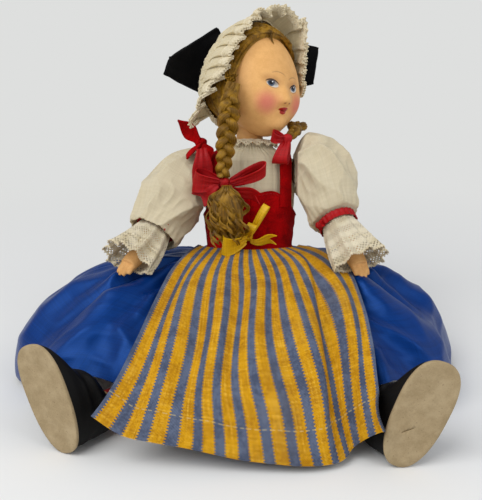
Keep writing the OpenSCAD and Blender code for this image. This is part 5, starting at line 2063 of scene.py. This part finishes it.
@dataclass
class Leg:
    """One stuffed leg in its red stocking, with a black shoe and a card sole."""

    side: Side
    length: float = 128.0
    rim: float = HIPS.shoe_rim
    knee: float = 13.5
    ankle: float = 19.0
    lift: float = 0.4
    roll: float = 20.0
    toe_wide: float = 0.12
    sole_square: float = 0.8
    sole: float = 2.2

    def __post_init__(self) -> None:
        """Chooses this side's splay and turn of the foot."""
        self.turn = 12.0 if self.side is Side.RIGHT else 24.0
        self.place = HIPS.place(self.side)
        self.body = f"leg_{self.side.label}"
        self.stations = ((0, self.knee, self.knee), (47.9, 12.96, 12.96), (self.rim, 9.5, 9.5),
                         (109.165, 11.54, 18.3), (125.8, 12.1, 28.1))

    def share(self, s: Value) -> Array:
        """How far the section at s has turned from a round ankle into the oblong of the sole."""
        return ease((np.asarray(s, float) - self.rim) / 18)

    def outline(self, s: Value, off: Value, q: Value) -> tuple[Array, Array]:
        """Gives the section's outline at distance s from the hip pin.

        Args:
            s: The distance.
            off: How far it stands off.
            q: Turns round the outline, in degrees.

        Returns:
            Its coordinates across and up.
        """
        power = mix(1, self.sole_square, self.share(s))
        a, b = eased(s, self.stations, 1), eased(s, self.stations, 2)
        c, d = cosd(q), sind(q)
        across = (a * (1 + self.toe_wide * d) + off) * np.sign(c) * np.abs(c) ** power
        return across, (b + off) * np.sign(d) * np.abs(d) ** power

    def rings(self, s: Array, off: Value, q: Array) -> Array:
        """Gives rings of points round the leg, in the frame.

        Args:
            s: Distances from the hip pin, as a column.
            off: Distance from the surface, for each point.
            q: Turns round the leg, as a row.

        Returns:
            The points, which rest on the ground.
        """
        share = self.share(s)
        roll, turn = self.roll * share, self.turn * share
        stand = 2.4 * ease((s - 0.8 * self.rim) / (0.2 * self.rim))
        x, y = self.outline(s, stand, turns(40))
        low = (y * cosd(roll) - x * sind(roll)).min(1, keepdims=True)
        x, y = self.outline(s, off, q)
        right = x * cosd(roll) + y * sind(roll)
        up = y * cosd(roll) - x * sind(roll)
        out = (eased(s, self.stations, 2) - self.ankle / 2) * sind(roll)
        points = stacked(out + right * cosd(turn), -s - right * sind(turn), self.lift - low + up)
        return self.side.faced(placed(self.place, points))

    def build(self) -> None:
        """Builds and dresses every piece of the leg."""
        q, s = turns(96), per_row(-12.9, 125.4, 120)
        close = np.sqrt(np.clip(1 - (np.minimum(s, 0) / self.knee) ** 2, 0, 1))
        slack = -3.8 * ease((s - self.rim) / 9) - (1 - close) * self.knee
        crease = 0.35 * Wrinkles(60 + self.side.value, 3, 9).height(q / 360, s / 125) * ease((s - 55) / 30)
        piece = Skin().loft(self.rings(s, slack + crease - 0.2, q)).build(f"{self.body}_stocking", STOCKING)
        hand_over(piece, self.body, [self.body])
        self.shoe(q)
        self.card_sole()

    def shoe(self, q: Array) -> None:
        """Builds the shoe's upper and its pale edge.

        Args:
            q: Turns round the shoe.
        """
        s = per_row(self.rim, self.length - self.sole - 0.5, 50)
        walk = 0.35 * Wrinkles(70 + self.side.value, 4, 3).height(q / 360, (s - self.rim) / 30)
        toe_seam = -0.5 * bell((q - 270) / 3)
        grid = self.rings(s, 0.95 + walk * np.sin(np.pi * (s - self.rim) / 30) + toe_seam, q)
        piece = Skin().shell(grid, 1.2, True).build(f"shoe_cloth_{self.side.label}", SHOE_BLACK)
        hand_over(piece, self.body, [f"shoe_upper_{self.side.label}"])
        line = self.rings(np.array([[self.rim]]), 1.0, per_col(0, 360, 97))[0]
        edge = Skin().tube(line, 0.9, 8).build(f"shoe_edge_{self.side.label}", SHOE_EDGE)
        hand_over(edge, self.body)

    def card_sole(self) -> None:
        """Builds the card sole with its rounded rim, and the small slit in the left one."""
        base, q, out = np.array([[self.length - self.sole]]), turns(160), self.facing()
        profile = ((0, -0.5), (0.25, -0.1), (0.6, 0), (1.6, 0), (1.95, -0.1), (2.2, -0.6))
        rows = [self.rings(base, 2.4 + inset, q)[0] + h * out for h, inset in profile]
        rim, middle = rows[-1], rows[-1].mean(0)
        for k in range(1, 9):
            dish = 0.25 * math.sin(math.pi * k / 9)
            rows.append(mix(rim, middle, k / 8.5) - dish * out)
        piece = Skin().loft(np.array(rows)).build(f"sole_card_{self.side.label}", CARD)
        if self.side is Side.LEFT:
            carved(piece, self.slit(middle))
        hand_over(piece, self.body, [f"shoe_sole_{self.side.label}"])

    def slit(self, middle: Array) -> Piece:
        """Makes the cutter of the small slit in the sole.

        Args:
            middle: Middle of the sole's face.

        Returns:
            The cutter.
        """
        out, up, _ = ring_frame(self.facing())
        across = np.cross(up, out)
        at = middle - 6 * across - 8 * up
        a = turns(24).T
        lens = 3.2 * cosd(a) * (across + 0.35 * up) + 0.45 * sind(a) * up
        rings = np.stack([at + lens - 0.9 * out, at + lens + 0.9 * out])
        return Skin().loft(rings).build("slit_cutter", CARD)

    def facing(self) -> Array:
        """Direction in which the sole looks."""
        way = np.array([-sind(self.turn), -cosd(self.turn), 0.0])
        return self.side.faced(self.place[:3, :3] @ way)


FRONT_FALL = np.array(((0, 1), (0.42, 0.86), (1.04, 0.68), (1, 0.02)))
SIDE_FALL = np.array(((0, 1), (0.42, 0.97), (1.04, 0.76), (1, 0.02)))
APRON_EDGES = {Side.RIGHT: (27, 58, 56, 82), Side.LEFT: (27, 78, 64, 69)}
APRON_HEM = ((-81, -115, 28), (-66, -119, 19.6), (-51, -121, 16.8), (-33.6, -122, 13.9), (-20, -123, 11.2),
             (-6, -123.5, 8.1), (9, -124, 6.4), (24, -124, 4.9), (36.7, -122, 4.1), (46, -118, 4.2),
             (52, -112, 7.5), (59.1, -119, 18.4), (66.3, -125, 26))


@dataclass(frozen=True)
class DeepFold:
    """A deep fold of the skirt: its turn at the waist, how far it slants, its depth and its width."""

    turn: float
    lean: float
    deep: float
    wide: float

    def height(self, s: Array, at: Array) -> Array:
        """Gives the fold's height.

        Args:
            s: Share of the way from the waist to the hem.
            at: Turn about the body, from 0 to 360.

        Returns:
            Heights, below 0 in the fold and above 0 on the rolls beside it.
        """
        off = (np.mod(at - self.turn - self.lean * s + 180, 360) - 180) / (self.wide * (0.7 + 0.9 * s))
        fade = 1 - 0.75 * ease((s - 0.45) / 0.55)
        return self.deep * (0.55 * bell(off / 2.2) - bell(off)) * ease(s / 0.35) * fade


DEEP_FOLDS = [DeepFold(*values) for values in (
    (194, 6, 8, 4.5), (209, -5, 11, 4.5), (223, 4, 9, 4.0), (235, -3, 7, 3.0), (289, -5, 7, 4),
    (308, 4, 7, 3.0), (321, -6, 11, 4.2), (336, 5, 9, 4.5), (351, -5, 8, 4.5), (20, 4, 6, 4), (44, -4, 6, 4),
    (68, 4, 6, 4), (92, -4, 6, 4), (118, 4, 6, 4), (145, -4, 6, 4), (170, 4, 6, 4))]


@dataclass
class LowerDress:
    """The petticoat, the blue satin skirt and the striped apron, spread over the legs."""

    waist: tuple[float, float] = (26.4, 18.9)
    waist_y: float = 19.83
    top: float = 71.0
    hem: float = 2.0
    front: float = 114.0
    back: float = 92.0
    right: float = 144.0
    left: float = 127.0
    lift_share: float = 0.25
    sag: float = 5.0
    folds: int = 13
    thick: float = 0.6
    apron_thick: float = 0.9
    apron_off: float = 4.4
    apron_width: float = 152.0
    hem_stitches: float = 17.0
    bend_from: float = 4.0
    bend_to: float = 75.0

    def __post_init__(self) -> None:
        """Works out where the hem is lifted over each leg."""
        self.leg_turn = {}
        for side in Side:
            splay, reach = HIPS.splay(side), HIPS.shoe_rim
            x, y = HIPS.x + reach * sind(splay), HIPS.forward + reach * cosd(splay)
            wide = self.right if side is Side.RIGHT else self.left
            phi = math.degrees(math.atan2(y / self.front, x / wide))
            self.leg_turn[side] = 180 + phi if side is Side.RIGHT else 360 - phi

    def over_leg(self, phi: Array) -> Array:
        """How far the cloth at turn phi lies over a leg, from 0 to 1."""
        near = [ease(1 - np.maximum(0, np.abs(phi - turn) - 6) / 22) for turn in self.leg_turn.values()]
        return np.maximum(*near)

    def point(self, s: Array, phi: Array, off: Value = 0.0, folds: float = 1.0, lift: float | None = None,
              extra: Value = 0.0) -> Array:
        """Gives points on the spread cloth.

        Args:
            s: Share of the way from the waist to the hem.
            phi: Turn about the body, 270 at the front.
            off: Distance from the skirt.
            folds: Share of the skirt's folds that the cloth has.
            lift: How far the hem is lifted over the legs, as a share.
            extra: Height of more folds, added to the main ones.

        Returns:
            The points.
        """
        at = np.mod(phi + 720, 360)
        lift = self.lift_share if lift is None else lift
        over = self.over_leg(at)
        go = s * (1 - lift * over)
        d = mix(bezier(FRONT_FALL, go), bezier(SIDE_FALL, go), np.abs(cosd(at))[..., None])
        wave = folds * 3.5 * s**1.6 * cosd(self.folds * at + 40 * sind(2 * at)) + extra
        wa, wb = self.waist[0] * cosd(at), self.waist[1] * sind(at)
        hx = np.where(cosd(at) < 0, self.right, self.left) * cosd(at)
        hy = np.where(at > 180, self.front, self.back) * sind(at)
        out = stacked(hx, hy)
        out = 0.6 * out / np.linalg.norm(out, axis=-1, keepdims=True)
        x, y = mix(wa, hx, d[..., 0]), mix(self.waist_y + wb, hy, d[..., 0])
        top = self.top - wb * sind(BODY.lean)
        z = mix(self.hem, top, d[..., 1]) - self.sag * over * s**2
        return stacked(x + (off + wave) * out[..., 0], y + (off + wave) * out[..., 1],
                       z + off * (1 - s / 2) + 0.6 * wave * (1 - s))

    def halves(self, name: str, grid: Array, thick: float, finish: Finish, node: str,
               uv: Array) -> None:
        """Builds a cloth as two halves that meet at the middle, one for each leg, both left in the frame.

        Args:
            name: Name of the cloth.
            grid: Its points, in an odd number of columns.
            thick: Its thickness.
            finish: Its finish.
            node: The CAD node that it stands for.
            uv: Cloth coordinates of the whole.
        """
        normals, middle = Skin.normals(grid), grid.shape[1] // 2
        for side, pick in ((Side.RIGHT, slice(0, middle + 1)), (Side.LEFT, slice(middle, None))):
            skin = Skin().shell(grid[:, pick], thick, uv=uv[:, pick])
            piece = skin.build(f"{name}_{side.label}", finish, 180.0)
            self.match_normals(piece, normals[:, pick])
            hand_over(piece, "torso", [node], other=f"leg_{side.label}")

    @staticmethod
    def match_normals(piece: Piece, normals: Array) -> None:
        """Gives both halves the same shading where they meet.

        Args:
            piece: One half.
            normals: The whole cloth's normals at its points.
        """
        flat = normals.reshape(-1, 3)
        verts = piece.data.vertices
        given = np.concatenate([flat, -flat])
        if all(verts[k].normal.dot(flat[k]) < 0 for k in (0, len(flat) // 2)):
            given = -given
        piece.data.normals_split_custom_set_from_vertices(given.tolist())

    def build(self) -> None:
        """Builds and dresses the three layers."""
        self.petticoat()
        self.skirt()
        self.apron()

    @staticmethod
    def spread(count: int) -> Array:
        """Turns of columns from the middle of the back, by the right side, to the back again."""
        return np.concatenate([np.linspace(90, 270, count), np.linspace(270, 450, count)[1:]])[None, :]

    @staticmethod
    def pockets(s: Array, phi: Array) -> Array:
        """Gives the skirt's deep folds, which run from the waist and die out towards the hem.

        Args:
            s: Share of the way from the waist to the hem.
            phi: Turn about the body.

        Returns:
            The heights of all of them together.
        """
        total = np.zeros(np.broadcast(s, phi).shape)
        for fold in DEEP_FOLDS:
            total += fold.height(s, np.mod(phi, 360))
        return total

    @staticmethod
    def apron_half(s: Array, x: Array) -> Array:
        """Gives the apron's half width at share s of its length, on the side on which x lies."""
        right, left = (bezier(np.array(APRON_EDGES[side], float)[:, None], s)[..., 0] for side in Side)
        return np.where(x < 0, right, left)

    def covered(self, s: Array, phi: Array, grid: Array) -> Array:
        """Gives how far the apron covers the points of a cloth below it, from 0 to 1."""
        inside = self.apron_half(s, grid[..., 0]) + 4 - np.abs(grid[..., 0])
        return ease(inside / 9) * (sind(phi) < 0)

    def folded(self, grid: Array, s: Array, phi: Array, folds: Array) -> Array:
        """Folds a cloth along its normals, and lays it low and plain where the apron covers it.

        Args:
            grid: Its points.
            s: Share of the way from the waist to the hem.
            phi: Turn about the body.
            folds: Heights of the folds.

        Returns:
            The moved points.
        """
        under = self.covered(s, phi, grid)
        deep = folds * (1 - under) - 3 * under * ease(s / 0.3)
        return grid + deep[..., None] * Skin.normals(grid)

    def petticoat(self) -> None:
        """Builds the white petticoat under the skirt."""
        phi = self.spread(220)
        s = per_row(0.1, 1, 60) * np.where(np.mod(phi, 360) > 285, 0.99, 0.96)
        extra = 0.6 * np.sin(2 * np.pi * 34 * (phi / 360)) * s
        grid = self.point(s, phi, -mix(3.0, 8.0, ease((s - 0.1) / 0.4)), 0.4, extra=extra)
        grid = self.clear_of_legs(self.folded(grid, s, phi, self.pockets(s, phi)), 0.6)
        grid[..., 2] = np.maximum(grid[..., 2], 0.6)
        self.halves("petticoat_cotton", grid, self.thick, WHITE, "petticoat",
                    Skin.lengths(grid))

    def skirt(self) -> None:
        """Builds the gathered blue satin skirt with its deep soft folds and creases."""
        s, phi = per_row(0, 1, 130), self.spread(360)
        share = np.mod(phi, 360) / 360
        gathers = 2 * np.pi * 64 * share + 3 * np.sin(2 * np.pi * 3 * share)
        gathers = 0.7 * np.sin(gathers) * np.exp(-s / 0.16)
        big = 3.4 * Wrinkles(81, 16, 3.0, 4).height(share, s) * ease(s / 0.35) * (1 - 0.4 * s)
        small = 0.9 * Wrinkles(87, 26, 5.0, 6).height(share, s) * ease(s / 0.25) * (1 - 0.3 * s)
        grid = self.point(s, phi, 0.0, 1.15, extra=gathers)
        grid = self.clear_of_legs(self.folded(grid, s, phi, big + small + self.pockets(s, phi)), 1.6)
        grid = relaxed(grid, 2)
        grid[..., 2] = np.maximum(grid[..., 2], 0.9)
        self.halves("skirt_satin", grid, self.thick, SATIN, "skirt", Skin.lengths(grid))

    def apron(self) -> None:
        """Builds the striped apron, which falls over the insides of the legs beside the shoes."""
        s, u = per_row(0, 1, 130), per_col(-1, 1, 239)
        half = self.apron_half(s, u)
        full = mix(self.waist[0], np.where(u < 0, self.right, self.left), bezier(FRONT_FALL, s)[..., 0])
        sway = 0.035 * np.sin(2 * np.pi * (1.2 * s + 0.7 * u)) * ease(s / 0.3) * ease((1 - s) / 0.3)
        phi = 270 + np.degrees(np.arcsin(np.clip((u + sway * (1 - u**2)) * half / full, -1, 1)))
        wave = 2.7 * ease(s / 0.5) * (1 + np.cos(5.4 * np.pi * (u + 1) + 1.2 * np.sin(3 * s)))
        gathers = 0.5 * np.sin(46 * np.pi * u + 2 * np.sin(5 * u)) * np.exp(-s / 0.14)
        fold = (u - mix(0.8, 0.5, np.minimum(s / 0.85, 1))) / 0.06
        deep = (3 * bell(fold + 1.5) - 6.2 * bell(fold)) * ease(s / 0.3) * ease((1.05 - s) / 0.2)
        crease = 0.9 * Wrinkles(93, 5, 2.0, 6).height((u + 1) / 2, s) * ease(s / 0.3)
        grid = self.point(mix(0.02, 0.97, s), phi, self.apron_off + wave, 1.0, 0.08, gathers + deep + crease)
        grid = grid + (through(APRON_HEM, u.size) - grid[-1]) * (s**3)[..., None]
        grid = relaxed(self.clear_of_legs(grid, 2.6), 5)
        grid[..., 2] = np.maximum(grid[..., 2], 0.9)
        flat = stacked(self.apron_width * MM * (u + 1) / 2, Skin.lengths(grid)[:, :1, 1])
        finish = StripeFinish("Striped apron weave", (226, 168, 16), (106, 117, 141), 0.85, 0.05, 0.2, 0.35,
                              hem=float(flat[-1, 0, 1] - self.hem_stitches * MM))
        self.halves("apron_weave", grid, self.apron_thick, finish, "apron", flat)

    @staticmethod
    def clear_of_legs(grid: Array, room: float) -> Array:
        """Pushes cloth that lies inside a leg or shoe out to its surface.

        Args:
            grid: The cloth's points.
            room: Distance that is kept from the leg.

        Returns:
            The moved points.
        """
        hip_end, low = 20.0, -0.35
        for leg in (Leg(side) for side in Side):
            local = placed(np.linalg.inv(leg.place), leg.side.faced(grid))
            along = -local[..., 1]
            s = np.clip(along, hip_end, leg.length)
            a, b = (eased(s, leg.stations, column) + room for column in (1, 2))
            middle = leg.lift + b
            x, z = local[..., 0] / a, np.maximum((local[..., 2] - middle) / b, low)
            far = np.hypot(x, z)
            inside = (far < 1) & (along > hip_end) & (along < leg.length + 1)
            grow = np.where(inside, 1 / np.maximum(far, 0.2), 1.0)
            local[..., 0] = np.where(inside, x * grow * a, local[..., 0])
            local[..., 2] = np.where(inside, middle + z * grow * b, local[..., 2])
            grid = leg.side.faced(placed(leg.place, local))
        return grid


@dataclass
class Trimmings:
    """The ribbon bows and the curled tuft below the right braid."""

    knot_right: tuple[float, float, float] = (-16.0, 2.977, 120.6)
    knot_left: tuple[float, float, float] = (23.0, 17.177, 145.2)
    bow: tuple[float, float, float] = (-1.0, -0.3, 87.0)
    tuft: tuple[float, float, float] = (-14.4, -3.823, 120.8)
    tuft_size: tuple[float, float, float] = (29.0, 15.0, 41.0)

    def build(self) -> None:
        """Builds and dresses the bows and the tuft."""
        at = np.array(self.knot_right)
        red = Skin()
        tied_knot(red, at, 4)
        ribbon_loop(red, at + [3.6, -0.5, 0], (1, -0.15, 0.45), (0, -0.5, 1), 24, 9, 2.8)
        ribbon_tail(red, at + [3.4, -1.6, -2.2], at + [22, -4, -9], (0, -0.5, 1), 9)
        ribbon_loop(red, at + [-3, -2, 0], (-1, 0.25, 0.1), (0.2, -0.35, 1), 16, 15, 2.5)
        ribbon_tail(red, at + [-14, 12, 19], at + [-13, 1.5, -1], (1, 0.2, 0.1), 13, 0.0)
        ribbon_tail(red, at + [-5, -2, 0], at + [-17, 0, -11], (0.7, -0.3, -0.6), 13)
        hand_over(red.build("braid_ribbon_right", RED_RIBBON), "torso", ["braid_bow_right"])
        at = np.array(self.knot_left)
        red = Skin()
        tied_knot(red, at, 3.4)
        ribbon_loop(red, at + [-1.8, -0.6, 0.4], (-1, -0.2, 0.25), (0.2, -0.4, 1), 8, 7, 2)
        ribbon_loop(red, at + [-0.6, -1, -1.6], (-0.3, -0.3, -1), (1, -0.3, 0), 14, 10, 2.4)
        hand_over(red.build("braid_ribbon_left", RED_RIBBON), "torso", ["braid_bow_left"])
        at = np.array(self.bow)
        gold = Skin()
        tied_knot(gold, at, 2.8)
        ribbon_loop(gold, at + [1, -1, 1.6], (0.56, 0.1, 1), (1, -0.4, -0.5), 21, 4.5, 1.6)
        ribbon_loop(gold, at + [0, -2, 1.2], (0.25, -0.3, 0.8), (1, -0.4, -0.3), 9, 6, 1.6)
        ribbon_loop(gold, at + [-1.8, -2.4, -0.5], (-1, -0.75, -0.1), (0.1, -0.3, 1), 17, 13, 2.5)
        ribbon_tail(gold, at + [1.2, -1.5, -2], at + [17.5, -2.5, -1.5], (0, -0.5, 1), 7.5, 0.3)
        hand_over(gold.build("bodice_ribbon", YELLOW_RIBBON), "torso", ["bodice_bow"])
        self.curls()

    def curls(self) -> None:
        """Builds the tuft from ringlets that hang from the knot."""
        draw = np.random.default_rng(17)
        wide, deep, long = self.tuft_size
        skin = Skin()
        count, strands = 24, 10
        for k in range(count):
            az, far = 137.5 * k, math.sqrt((k + 0.5) / count) * 0.8
            ends = draw.uniform(0.66, 0.95) * (1 - 0.2 * far)
            coils, begin, curl = draw.uniform(1.5, 2.6), draw.uniform(0, 7), draw.uniform(2.0, 3.0)
            for n in range(strands):
                t = np.linspace(0, 1, 56) * ends
                fat = mix(0.25, 1, ease(4 * t)) * mix(1, 0.8, ease(2.5 * t - 1.5))
                phase = 2 * np.pi * coils * t / ends + begin + 0.1 * n
                size = curl * ease(3 * t) * draw.uniform(0.9, 1.08)
                x = wide / 2 * fat * far * cosd(az) + size * np.cos(phase)
                y = deep / 2 * fat * far * sind(az) - 7 * ease(2 * t) + size * np.sin(phase)
                path = stacked(x, y, -long * t - 0.4 - 0.42 * (n - 4.5) * ease(4 * t))
                thick = draw.uniform(0.42, 0.6) * mix(1, 0.55, (t / ends) ** 2)
                skin.tube(np.array(self.tuft) + path, thick, 5)
        tied_knot(skin, np.array(self.tuft) + [0, -5.5, -18], 1.0, (10, 4.6, 15), 9)
        hand_over(skin.build("braid_tuft", CURLS), "torso", ["braid_curls"])


def dress_hardware() -> None:
    """Gives the joint discs, pins and peg, which stay as they are, their finishes."""
    finishes = {FIBRE: ["shoulder_discs", "hip_discs", "arm_disc_right", "arm_disc_left"],
                WIRE: ["shoulder_pin_right", "shoulder_pin_left", "hip_pin_right", "hip_pin_left"],
                PEG_WOOD: ["neck_peg"]}
    for finish, names in finishes.items():
        for name in names:
            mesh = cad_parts[name].data
            mesh.materials.clear()
            mesh.materials.append(finish.material())
            LOG.info("%s keeps its form", name)


@dataclass
class Studio:
    """The pale floor, the soft light and the camera."""

    eye: tuple[float, float, float] = (-5.6, -450.0, 224.5)
    pitch: float = 18.0
    focal: float = 755.0
    picture: tuple[int, int] = (482, 500)
    floor_half: float = 6000.0
    sensor: float = 36.0
    room: Colour = (184, 186, 190)

    def build(self) -> None:
        """Sets up the floor, the lamps, the world and the camera."""
        self.floor()
        self.lamp("Window", (-0.75, -0.75, 1.25), 1.1, 15.0)
        self.lamp("Fill", (0.95, -0.6, 0.8), 0.9, 4.0)
        world = bpy.data.worlds.new("Soft room")
        world.use_nodes = True
        t = Tree(world.node_tree)
        seen = t.node("LightPath").outputs["Is Camera Ray"]
        tone = t.mix(seen, linear(self.room), linear(FLOOR.second))
        t.feed(world.node_tree.nodes["Background"].inputs[0], tone)
        bpy.context.scene.world = world
        bpy.context.scene.view_settings.view_transform = "Standard"
        self.camera()

    def floor(self) -> None:
        """Lays a plain pale floor under the doll."""
        x = np.linspace(-self.floor_half, self.floor_half, 9)
        skin = Skin()
        skin.grid(stacked(x[None, :], x[:, None], 0.0))
        skin.build("floor", FLOOR)

    @staticmethod
    def lamp(name: str, at: tuple[float, float, float], size: float, power: float) -> None:
        """Hangs a soft square lamp that looks at the doll.

        Args:
            name: Its name.
            at: Its place, in metres.
            size: Length of its sides, in metres.
            power: Its power, in watts.
        """
        data = bpy.data.lights.new(name, "AREA")
        data.size, data.energy = size, power
        lamp = bpy.data.objects.new(name, data)
        lamp.location = at
        x, y, z = np.array([0, 0, 0.1]) - np.array(at)
        lamp.rotation_euler = (math.atan2(math.hypot(x, y), -z), 0, math.atan2(x, -y) + math.pi)
        bpy.context.scene.collection.objects.link(lamp)

    def camera(self) -> None:
        """Puts the camera where the photograph was taken from."""
        data = bpy.data.cameras.new("Camera")
        data.sensor_width = self.sensor
        data.lens = self.focal / max(self.picture) * self.sensor
        made = bpy.data.objects.new("Camera", data)
        made.location = tuple(MM * v for v in self.eye)
        made.rotation_euler = (math.radians(90 - self.pitch), 0, 0)
        bpy.context.scene.collection.objects.link(made)
        bpy.context.scene.camera = made


def main() -> None:
    """Builds the doll's sub-assemblies in order."""
    logging.basicConfig(level=logging.INFO, format="%(name)s: %(message)s")
    Studio().build()
    UpperBody().build()
    Head().build()
    for side in Side:
        Arm(side).build()
        Leg(side).build()
    LowerDress().build()
    Trimmings().build()
    dress_hardware()


if __name__ == "__main__":
    main()
